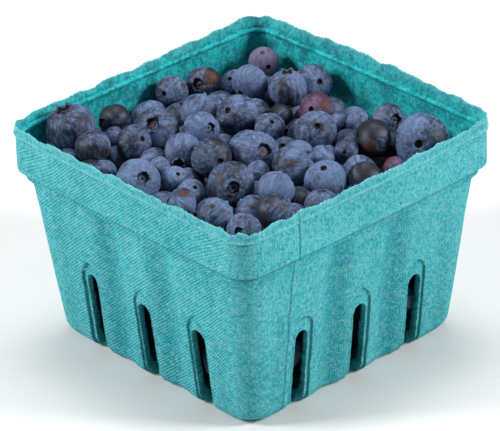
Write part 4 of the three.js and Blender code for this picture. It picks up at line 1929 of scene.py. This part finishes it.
    def lay_bearers(self, berries: list[Laid]) -> list[Laid]:
        """A berry under each one that neither the core nor its neighbours bear.

        Args:
            berries: All berries laid so far.

        Returns:
            The bearing berries.
        """
        borne: list[Laid] = []
        loose = berries
        before = len(loose) + 1
        while len(loose) < before:
            before = len(loose)
            borne += [berry for berry in loose if self.is_borne(berry, borne)]
            loose = [berry for berry in berries if berry not in borne]
        return [self.bearer_of(berry) for berry in loose]

    def bearer_of(self, berry: Laid) -> Laid:
        """The berry that bears a loose one from below, a little further in.

        Args:
            berry: The loose berry.

        Returns:
            Its bearer.
        """
        radius = berry.radius * self.bearer_share
        low = berry.place.z - self.bearer_touch * (berry.radius + radius)
        inward = self.bearer_inward
        return Laid(radius, place=Vector((berry.place.x * inward, berry.place.y * inward, low)))

    def lay_behind_slots(self) -> list[Laid]:
        """One berry against the wall behind each slot.

        Returns:
            The berries, side by side round the punnet.
        """
        berries = []
        middles = self.form.slot_middles()
        for side in range(SIDES):
            for number, middle in enumerate(middles):
                order = side * len(middles) + number + 1
                z = lerp(*self.slot_height, scatter(order, 0)) * MM
                radius = lerp(*self.slot_across, scatter(order, 1)) / 2 * MM
                along = middle + lerp(*self.slot_aside, scatter(order, 2)) * MM
                out = self.room_half(z - radius / 2) - radius - self.clearance
                turn = Matrix.Rotation(side * QUARTER, 3, "Z")
                berries.append(Laid(radius, place=turn @ Vector((out, along, z))))
        return berries


@dataclass(frozen=True)
class BerryForm:
    """One blueberry of radius 1: a flattened ball with a crown at one end and a stem scar at the other.

    Each stop of the crown and the scar is a distance from the axis, a height along it, how dry the skin
    is, how much it follows the lobes, and how far it belongs to the heart of the crown.
    """

    segments: int = 50
    flat: float = 0.86
    power: float = 2.2
    crown: tuple = (
        (0.000, 0.700, 0.6, 0.0, 1.0),
        (0.034, 0.703, 0.6, 0.0, 1.0),
        (0.062, 0.685, 0.45, 0.0, 0.2),
        (0.135, 0.675, 0.25, 0.0, 0.0),
        (0.208, 0.685, 0.35, 0.2, 0.0),
        (0.252, 0.710, 0.85, 0.5, 0.0),
        (0.280, 0.770, 0.7, 0.8, 0.0),
        (0.312, 0.835, 0.4, 1.0, 0.0),
        (0.345, 0.868, 0.36, 1.0, 0.0),
        (0.378, 0.858, 0.15, 0.8, 0.0),
        (0.402, 0.828, 0.0, 0.4, 0.0),
        (0.435, 0.802, 0.0, 0.1, 0.0),
    )
    scar: tuple = (
        (0.240, -0.838, 0.0, 0.0, 0.0),
        (0.200, -0.852, 0.0, 0.0, 0.0),
        (0.165, -0.848, 0.3, 0.0, 0.0),
        (0.140, -0.818, 0.8, 0.0, 0.0),
        (0.118, -0.765, 0.8, 0.0, 0.0),
        (0.060, -0.745, 0.55, 0.0, 0.1),
        (0.000, -0.740, 0.55, 0.0, 0.15),
    )
    crown_edge: float = 0.47
    scar_edge: float = 0.28
    upper_steps: int = 10
    lower_steps: int = 12

    def body_stop(self, angle: float, sign: float) -> tuple:
        """A stop on the ball, by its angle from the axis.

        Args:
            angle: The angle.
            sign: 1 above the middle, -1 below it.

        Returns:
            The stop.
        """
        radius = math.sin(angle)
        height = sign * self.flat * (1 - radius**self.power) ** (1 / self.power)
        return (radius, height, 0.0, 0.0, 0.0)

    def stops(self) -> Array:
        """All stops from the crown's heart to the bottom of the scar.

        Returns:
            One line for each stop.
        """
        upper = np.linspace(math.asin(self.crown_edge), QUARTER, self.upper_steps)
        lower = np.linspace(QUARTER, math.asin(self.scar_edge), self.lower_steps)[1:]
        body = [self.body_stop(angle, 1.0) for angle in upper]
        body += [self.body_stop(angle, -1.0) for angle in lower]
        return np.array(list(self.crown) + body + list(self.scar))

    def template(self) -> dict[str, Array]:
        """The berry as arrays: places, faces, and each vertex's share of dry skin, heart and lobe.

        Returns:
            The arrays by name.
        """
        stops = self.stops()
        angles = np.linspace(0, 2 * math.pi, self.segments, endpoint=False)
        repeats = [1] + [self.segments] * (len(stops) - 2) + [1]
        radius, height, dry, lobe, heart = np.repeat(stops, repeats, axis=0).T
        turn = np.concatenate([[0.0], np.tile(angles, len(stops) - 2), [0.0]])
        places = np.stack([radius * np.cos(turn), radius * np.sin(turn), height], -1)
        faces = self.faces(len(stops) - 2)
        return {"places": places, "faces": faces, "dry": dry, "heart": heart, "lobe": lobe}

    def faces(self, count: int) -> list[tuple[int, ...]]:
        """Faces between the rings and at both ends.

        Args:
            count: How many rings there are between the two ends.

        Returns:
            Vertex numbers of each face.
        """
        width = self.segments
        faces: list[tuple[int, ...]] = []
        last = count * width + 1
        for column in range(width):
            after = (column + 1) % width
            faces.append((0, 1 + column, 1 + after))
            for ring in range(count - 1):
                low, high = 1 + ring * width, 1 + (ring + 1) * width
                faces.append((low + column, high + column, high + after, low + after))
            base = 1 + (count - 1) * width
            faces.append((base + column, last, base + after))
        return faces


ANY_ANGLE = (0.0, 6.28)
CROWN_LOBES = 5
CROWN_WAVES = (2, 3, 7, 11)


@dataclass
class BerryHeap:
    """The heap's berries, joined into one piece for each kind of skin."""

    plan: HeapPlan
    form: BerryForm
    lower_form: BerryForm
    seed: int = 5
    away: float = 0.25
    squash: tuple = (0.95, 1.0)
    stretch: tuple = (0.95, 1.06)
    wave_count: int = 4
    wave_turns: float = 2.6
    wave_height: float = 0.014
    lean: float = 0.05
    unmarked: float = 9.0

    def facing(self, berry: Laid, pixel: tuple) -> Vector:
        """Direction from a berry's middle to the place on it that shows at a pixel.

        Args:
            berry: The berry.
            pixel: A place in the picture.

        Returns:
            A unit vector.
        """
        line = self.plan.picture.line(*pixel[:2]).normalized()
        offset = self.plan.picture.eye - berry.place
        nearest = offset - line * offset.dot(line)
        inside = berry.radius**2 - nearest.length_squared
        if inside > 0:
            nearest = nearest - line * math.sqrt(inside)
        return nearest.normalized()

    def axis(self, berry: Laid, rng: np.random.Generator) -> Vector:
        """Direction of a berry's crown.

        Args:
            berry: The berry.
            rng: Draws the direction where the picture shows no end.

        Returns:
            A unit vector.
        """
        seen = berry.seen
        if seen and seen.crown:
            return self.facing(berry, seen.crown)
        if seen and seen.scar:
            return -self.facing(berry, seen.scar)
        free = Vector(rng.normal(size=3)).normalized()
        if seen:
            free -= self.plan.picture.back * (free.dot(self.plan.picture.back) + self.away)
        return free.normalized()

    def build(self) -> list[bpy.types.Object]:
        """Makes every berry and joins them by kind.

        Returns:
            One piece for each kind of skin.
        """
        rng = np.random.default_rng(self.seed)
        shown = self.plan.lay_seen()
        filled = self.plan.lay_filling(shown)
        lower = filled + self.plan.lay_bearers(shown + filled) + self.plan.lay_behind_slots()
        LOG.info("%d showing berries and %d lower ones", len(shown), len(lower))
        groups: dict[Skin, list] = {skin: [] for skin in Skin}
        for berry in shown:
            groups[berry.seen.skin].append(self.shape(berry, self.form, rng))
        for berry in lower:
            groups[Skin.LOWER].append(self.shape(berry, self.lower_form, rng))
        return [self.join(skin, shapes) for skin, shapes in groups.items()]

    def shape(self, berry: Laid, form: BerryForm, rng: np.random.Generator) -> dict[str, Array]:
        """Places one berry, with its own lumps, squash and painted values.

        Args:
            berry: The berry.
            form: Its form.
            rng: Draws what is its own.

        Returns:
            The template's arrays with the berry's own values.
        """
        template = form.template()
        axis = self.axis(berry, rng)
        turn = axis.to_track_quat("Z", "Y").to_matrix() @ Matrix.Rotation(rng.uniform(*ANY_ANGLE), 3, "Z")
        local = self.make_uneven(self.lobe_crown(template, rng), rng)
        places = local * berry.radius @ np.array(turn).T + np.array(berry.place)
        count = len(places)
        seen = berry.seen
        bloom = seen.bloom if seen else rng.uniform(0.3, 0.8)
        brown = seen.brown if seen else rng.uniform(0.0, 0.5)
        nature = np.tile([bloom, brown, seen.raw if seen else 0.0], (count, 1))
        own = local * berry.radius + rng.uniform(-1, 1, 3)
        mark = np.full((count, 3), self.unmarked)
        if seen and seen.mark:
            mark = self.mark_offset(berry, places)
        heart = template["heart"] * (seen.heart if seen else 0.0)
        return {**template, "places": places, "nature": nature, "own": own, "mark": mark, "heart": heart}

    def make_uneven(self, places: Array, rng: np.random.Generator) -> Array:
        """Squashes, leans and lumps one berry.

        Args:
            places: The points of a berry of radius 1.
            rng: Draws the unevenness.

        Returns:
            The points' new places.
        """
        local = places * np.array([1, rng.uniform(*self.squash), rng.uniform(*self.stretch)])
        waves = sum(
            np.sin(local @ rng.normal(0, self.wave_turns, 3) + rng.uniform(*ANY_ANGLE))
            for _ in range(self.wave_count)
        )
        lean = rng.normal(0, self.lean, 2)
        local[:, :2] += lean * local[:, 2:3] ** 2
        return local * (1 + self.wave_height * waves)[:, None]

    def mark_offset(self, berry: Laid, places: Array) -> Array:
        """How far each point lies from the berry's mark, 1 at the mark's edge.

        Args:
            berry: The berry, with its mark.
            places: The berry's points.

        Returns:
            The offsets.
        """
        seen = berry.seen
        first = np.array(self.facing(berry, seen.mark) * berry.radius + berry.place)
        offset = (places - first) / (seen.mark[2] * MM)
        if seen.crack_end:
            last = np.array(self.facing(berry, seen.crack_end) * berry.radius + berry.place)
            length = np.linalg.norm(last - first) / (seen.mark[2] * MM)
            along = (last - first) / np.linalg.norm(last - first)
            reach = np.clip(offset @ along, 0, length)
            offset = offset - reach[:, None] * along
        return offset

    @staticmethod
    def lobe_crown(template: dict[str, Array], rng: np.random.Generator) -> Array:
        """Gives a berry's crown its size and five uneven lobes.

        Args:
            template: The berry's template.
            rng: Draws the unevenness.

        Returns:
            The template's places with the crown shaped.
        """
        places = template["places"].copy()
        angle = np.arctan2(places[:, 1], places[:, 0])
        wave = rng.uniform(0.05, 0.12) * np.cos(CROWN_LOBES * angle)
        for waves in CROWN_WAVES:
            wave += rng.normal(0, 0.03) * np.cos(waves * angle + rng.uniform(*ANY_ANGLE))
        crown = (places[:, 2] > 0) & (template["lobe"] + template["dry"] > 0)
        size = np.where(crown, rng.uniform(0.82, 1.04), 1.0)
        places[:, :2] *= (size * (1 + template["lobe"] * wave))[:, None]
        places[:, 2] += template["lobe"] * 0.45 * wave
        return places

    @staticmethod
    def join(skin: Skin, shapes: list[dict[str, Array]]) -> bpy.types.Object:
        """Joins berries of one kind into one piece and paints its values.

        Args:
            skin: The kind of skin.
            shapes: The berries' arrays.

        Returns:
            The piece.
        """
        faces, start = [], 0
        for shape in shapes:
            faces += [tuple(corner + start for corner in face) for face in shape["faces"]]
            start += len(shape["places"])
        piece = new_piece(skin.value, np.vstack([shape["places"] for shape in shapes]), faces)
        for name in ("nature", "own", "mark", "dry", "heart"):
            paint(piece, name, np.concatenate([shape[name] for shape in shapes]))
        return piece


@dataclass(frozen=True)
class SkinFinish:
    """A berry's skin: dark under a waxy bloom that is rubbed off in places."""

    deep: tuple = (0.006, 0.009, 0.021, 1.0)
    warm: tuple = (0.015, 0.011, 0.018, 1.0)
    bloom: tuple = (0.060, 0.108, 0.228, 1.0)
    bloom_grey: tuple = (0.19, 0.245, 0.385, 1.0)
    dry_dark: tuple = (0.006, 0.005, 0.008, 1.0)
    dry_brown: tuple = (0.035, 0.019, 0.016, 1.0)
    heart: tuple = (0.26, 0.085, 0.025, 1.0)
    scab: tuple = (0.115, 0.032, 0.018, 1.0)
    cover_shift: float = 0.0

    def material(self, name: str, cover: bpy.types.NodeTree) -> bpy.types.Material:
        """Builds the material.

        Args:
            name: The material's name.
            cover: The shared group of the waxy bloom.

        Returns:
            The material.
        """
        material, board, shader = start_material(name)
        own = board.painted("own").outputs["Vector"]
        bloom, brown, raw = board.parts(board.painted("nature").outputs["Vector"])
        amount = board.plus(bloom, self.cover_shift)
        wax = board.place(cover, Own=own, Amount=amount)
        patch = board.span(board.noise(own, 230.0, 3.0, 0.6), 0.38, 0.62)
        under = board.mix(board.times(patch, brown), self.deep, self.warm)
        grey = board.mix(board.span(wax.outputs["Thick"], 0.35, 0.8), self.bloom, self.bloom_grey)
        waxed = board.mix(wax.outputs["Cover"], under, grey)
        dry = board.painted("dry").outputs["Fac"]
        crumbly = board.noise(own, 1500.0, 3.0, 0.6)
        dry_skin = board.mix(board.span(crumbly, 0.45, 0.75), self.dry_dark, self.dry_brown)
        dry_edge = board.span(board.plus(dry, board.times(crumbly, 0.3)), 0.35, 0.75)
        dried = board.mix(dry_edge, waxed, dry_skin)
        hearted = board.mix(board.painted("heart").outputs["Fac"], dried, self.heart)
        far = board.vector("LENGTH", board.painted("mark").outputs["Vector"]).outputs["Value"]
        ragged = board.plus(far, board.times(board.noise(own, 620.0, 5.0, 0.75), 2.4))
        scab_share = board.span(ragged, 1.85, 2.15, 1.0, 0.0)
        rawness = board.times(board.span(crumbly, 0.42, 0.6), raw)
        scab = board.mix(rawness, self.dry_brown, self.scab)
        marked = board.mix(scab_share, hearted, scab)
        board.feed(shader.inputs["Base Color"], marked)
        shine = board.span(wax.outputs["Cover"], 0.0, 1.0, 0.5, 0.72)
        board.feed(shader.inputs["Roughness"], board.math("MAXIMUM", shine, dry_edge))
        shader.inputs["Specular IOR Level"].default_value = 0.32
        pitted = board.times(board.noise(own, 700.0, 3.0, 0.6), 0.35)
        crust = board.times(crumbly, board.plus(dry_edge, scab_share))
        height = board.plus(board.plus(pitted, crust), wax.outputs["Grain"])
        board.feed(shader.inputs["Normal"], board.bump(height, 0.16 * MM, 0.8))
        return material


def make_bloom_cover() -> bpy.types.NodeTree:
    """The shared waxy bloom: where it covers a berry and its fine mottled grain.

    Returns:
        The shader group.
    """
    inputs = {"Own": "Vector", "Amount": "Float"}
    outputs = {"Cover": "Float", "Thick": "Float", "Grain": "Float"}
    group, board, entry, leave = start_group("waxy_bloom", inputs, outputs)
    own = entry["Own"]
    sides = board.times(board.noise(own, 75.0, 1.0), 0.3)
    blotches = board.noise(own, 210.0, 4.0, 0.62)
    mottle = board.noise(own, 1500.0, 4.0, 0.75)
    drawn = board.add("Mapping", None, Vector=own, Rotation=(0.5, 0.3, 0.0), Scale=(1.0, 1.0, 0.22))
    scuffs = board.noise(drawn.outputs[0], 900.0, 3.0, 0.6)
    total = board.plus(board.times(blotches, 0.34), board.times(mottle, 0.16))
    total = board.plus(board.plus(total, sides), board.times(scuffs, 0.2))
    level = board.minus(0.6, board.times(entry["Amount"], 0.2))
    above = board.minus(total, level)
    board.feed(leave["Cover"], board.span(above, -0.085, 0.1, 0.02, 1.0))
    grained = board.times(mottle, 0.4)
    board.feed(leave["Thick"], board.plus(board.times(scuffs, 0.6), grained))
    board.feed(leave["Grain"], grained)
    return group


@dataclass
class HeapCore:
    """The dark inside of the heap, under the berries that show."""

    plan: HeapPlan
    low: float = 5.5 * MM
    high: float = 58 * MM
    inset: float = 5.5 * MM
    inset_top: float = 4.5 * MM
    drop: float = 8.5 * MM
    lump: float = 1.2 * MM
    lump_size: float = 9 * MM
    widening: tuple = (34 * MM, 46 * MM)
    rounding: float = 0.07
    cuts: int = 24

    def build(self) -> bpy.types.Object:
        """Makes the core from a cube, cut fine and pressed to the heap's form.

        Returns:
            The core.
        """
        bpy.ops.object.select_all(action="DESELECT")
        bpy.ops.mesh.primitive_cube_add(size=2)
        piece = bpy.context.object
        piece.name = piece.data.name = "heap_core"
        bpy.ops.object.mode_set(mode="EDIT")
        bpy.ops.mesh.select_all(action="SELECT")
        bpy.ops.mesh.subdivide(number_cuts=self.cuts)
        bpy.ops.object.mode_set(mode="OBJECT")
        places = points_of(piece)
        shaped = [self.press(x, y, z) for x, y, z in places.tolist()]
        set_points(piece, np.array(shaped))
        bumps = self.lump * lumps(points_of(piece), self.lump_size, 2)
        set_points(piece, points_of(piece) + normals_of(piece) * bumps[:, None])
        pick(piece)
        bpy.ops.object.shade_smooth()
        return piece

    def press(self, x: float, y: float, z: float) -> tuple[float, float, float]:
        """Where a point of the unit cube goes.

        Args:
            x: The point's place, -1 to 1.
            y: The same along Y.
            z: The same along Z.

        Returns:
            The place in metres.
        """
        level = (z + 1) / 2
        height = lerp(self.low, self.high, level)
        inset = lerp(self.inset, self.inset_top, float(smooth(height, *self.widening)))
        half = self.plan.room_half(height) - inset
        drawn_in = 1 - self.rounding * (x * y) ** 2
        px, py = x * half * drawn_in, y * half * drawn_in
        top = self.plan.heap_height(px, py) - self.drop
        return (px, py, lerp(self.low, top, level))


@dataclass(frozen=True)
class CoreFinish:
    """Shadowed skins deep in the heap."""

    colour: tuple = (0.008, 0.009, 0.016, 1.0)
    lighter: tuple = (0.02, 0.022, 0.04, 1.0)

    def material(self) -> bpy.types.Material:
        """Builds the material.

        Returns:
            The material.
        """
        material, board, shader = start_material("deep_skins")
        place = board.add("TexCoord").outputs["Object"]
        patch = board.noise(place, 150.0, 3.0)
        board.feed(shader.inputs["Base Color"], board.mix(patch, self.colour, self.lighter))
        shader.inputs["Roughness"].default_value = 0.7
        board.feed(shader.inputs["Normal"], board.bump(board.noise(place, 300.0, 3.0), 0.4 * MM))
        return material


@dataclass
class Studio:
    """The floor, lights and camera."""

    picture: Picture
    floor_half: float = 3.0
    floor_colour: tuple = (0.78, 0.78, 0.78, 1.0)
    sensor: float = 36.0
    room_light: float = 0.17
    aim: tuple = (0.0, 0.0, 0.05)
    lights: tuple = (
        ("left_light", (-0.88, -1.25, 1.0), 0.5, 29.0),
        ("right_light", (1.25, 0.9, 1.0), 0.5, 29.0),
        ("top_light", (-0.25, 0.25, 1.6), 0.7, 14.0),
    )

    def build(self) -> None:
        """Sets the whole studio up."""
        self.lay_floor()
        for name, place, size, power in self.lights:
            self.hang_light(name, Vector(place), size, power)
        self.light_room()
        self.set_camera()

    def lay_floor(self) -> None:
        """Lays a plain pale floor."""
        bpy.ops.object.select_all(action="DESELECT")
        bpy.ops.mesh.primitive_plane_add(size=2 * self.floor_half)
        floor = bpy.context.object
        floor.name = "studio_floor"
        material, _, shader = start_material("studio_floor")
        shader.inputs["Base Color"].default_value = self.floor_colour
        shader.inputs["Roughness"].default_value = 0.9
        shader.inputs["Specular IOR Level"].default_value = 0.1
        floor.data.materials.append(material)
        floor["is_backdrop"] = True

    def hang_light(self, name: str, place: Vector, size: float, power: float) -> None:
        """Hangs a soft light that faces the punnet.

        Args:
            name: The light's name.
            place: Where it hangs.
            size: The side of its square in metres.
            power: Its power in watts.
        """
        light = bpy.data.lights.new(name, "AREA")
        light.shape = "SQUARE"
        light.size = size
        light.energy = power
        lamp = bpy.data.objects.new(name, light)
        lamp.location = place
        aim = Vector(self.aim) - place
        lamp.rotation_euler = aim.to_track_quat("-Z", "Y").to_euler()
        bpy.context.scene.collection.objects.link(lamp)

    def light_room(self) -> None:
        """Fills the room with a little even light."""
        world = bpy.data.worlds.new("studio")
        world.use_nodes = True
        background = world.node_tree.nodes["Background"]
        background.inputs["Color"].default_value = (1.0, 1.0, 1.0, 1.0)
        background.inputs["Strength"].default_value = self.room_light
        bpy.context.scene.world = world
        bpy.context.scene.view_settings.view_transform = "Standard"

    def set_camera(self) -> None:
        """Puts the camera where the picture was taken from."""
        picture = self.picture
        camera = bpy.data.cameras.new("camera")
        camera.sensor_width = self.sensor
        camera.lens = picture.focal_pixels * self.sensor / picture.width
        camera.clip_end = 10.0
        body = bpy.data.objects.new("camera", camera)
        up = picture.back.cross(picture.right)
        turn = Matrix((picture.right, up, picture.back)).transposed()
        turn = turn @ Matrix.Rotation(math.radians(picture.roll), 3, "Z")
        body.matrix_world = Matrix.Translation(picture.eye) @ turn.to_4x4()
        bpy.context.scene.collection.objects.link(body)
        bpy.context.scene.camera = body


def dress(piece: bpy.types.Object, material: bpy.types.Material) -> None:
    """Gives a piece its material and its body.

    Args:
        piece: The finished piece.
        material: Its only material.
    """
    piece.data.materials.clear()
    piece.data.materials.append(material)
    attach(piece, "root")
    LOG.info("%s: %d faces", piece.name, len(piece.data.polygons))


def build_punnet(form: PunnetForm, top_limit: float) -> None:
    """Builds and dresses the pulp punnet.

    Args:
        form: The punnet's sizes.
        top_limit: Height that nothing stands above.
    """
    felt = make_felt()
    pulp = PulpFinish().material(felt, make_screen_print())
    shell = PulpShell(form)
    wall = shell.build()
    shell.roughen(wall)
    dress(wall, pulp)
    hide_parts("basket")
    rim = TornRim(form, top_limit)
    lip = rim.build()
    dress(lip, pulp)
    dress(LooseFibres(rim).build(), FibreFinish().material(felt))


def build_berries(form: PunnetForm, picture: Picture) -> None:
    """Builds and dresses the heap of berries.

    Args:
        form: The punnet's sizes.
        picture: Where the picture was taken from.
    """
    plan = HeapPlan(form, picture)
    cover = make_bloom_cover()
    blue = SkinFinish()
    rubbed = SkinFinish(deep=(0.006, 0.008, 0.017, 1.0), warm=(0.018, 0.012, 0.018, 1.0), cover_shift=0.02)
    blushed = SkinFinish(
        deep=(0.03, 0.015, 0.036, 1.0),
        warm=(0.10, 0.019, 0.05, 1.0),
        bloom=(0.10, 0.10, 0.20, 1.0),
        bloom_grey=(0.20, 0.14, 0.235, 1.0),
    )
    finishes = {
        Skin.BLOOMED: blue.material("bloomed_skin", cover),
        Skin.RUBBED: rubbed.material("rubbed_skin", cover),
        Skin.BLUSHED: blushed.material("blushed_skin", cover),
    }
    finishes[Skin.LOWER] = finishes[Skin.BLOOMED]
    coarse = BerryForm(segments=24, upper_steps=6, lower_steps=7)
    pieces = BerryHeap(plan, BerryForm(), coarse).build()
    for skin, piece in zip(Skin, pieces):
        dress(piece, finishes[skin])
    core = HeapCore(plan).build()
    dress(core, CoreFinish().material())
    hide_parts("berries")


def main() -> None:
    """Builds the punnet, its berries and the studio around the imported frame."""
    logging.basicConfig(level=logging.INFO, format="%(name)s: %(message)s")
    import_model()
    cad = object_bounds()
    picture = Picture()
    form = PunnetForm()
    Studio(picture).build()
    build_punnet(form, cad[1][2])
    build_berries(form, picture)


if __name__ == "__main__":
    main()
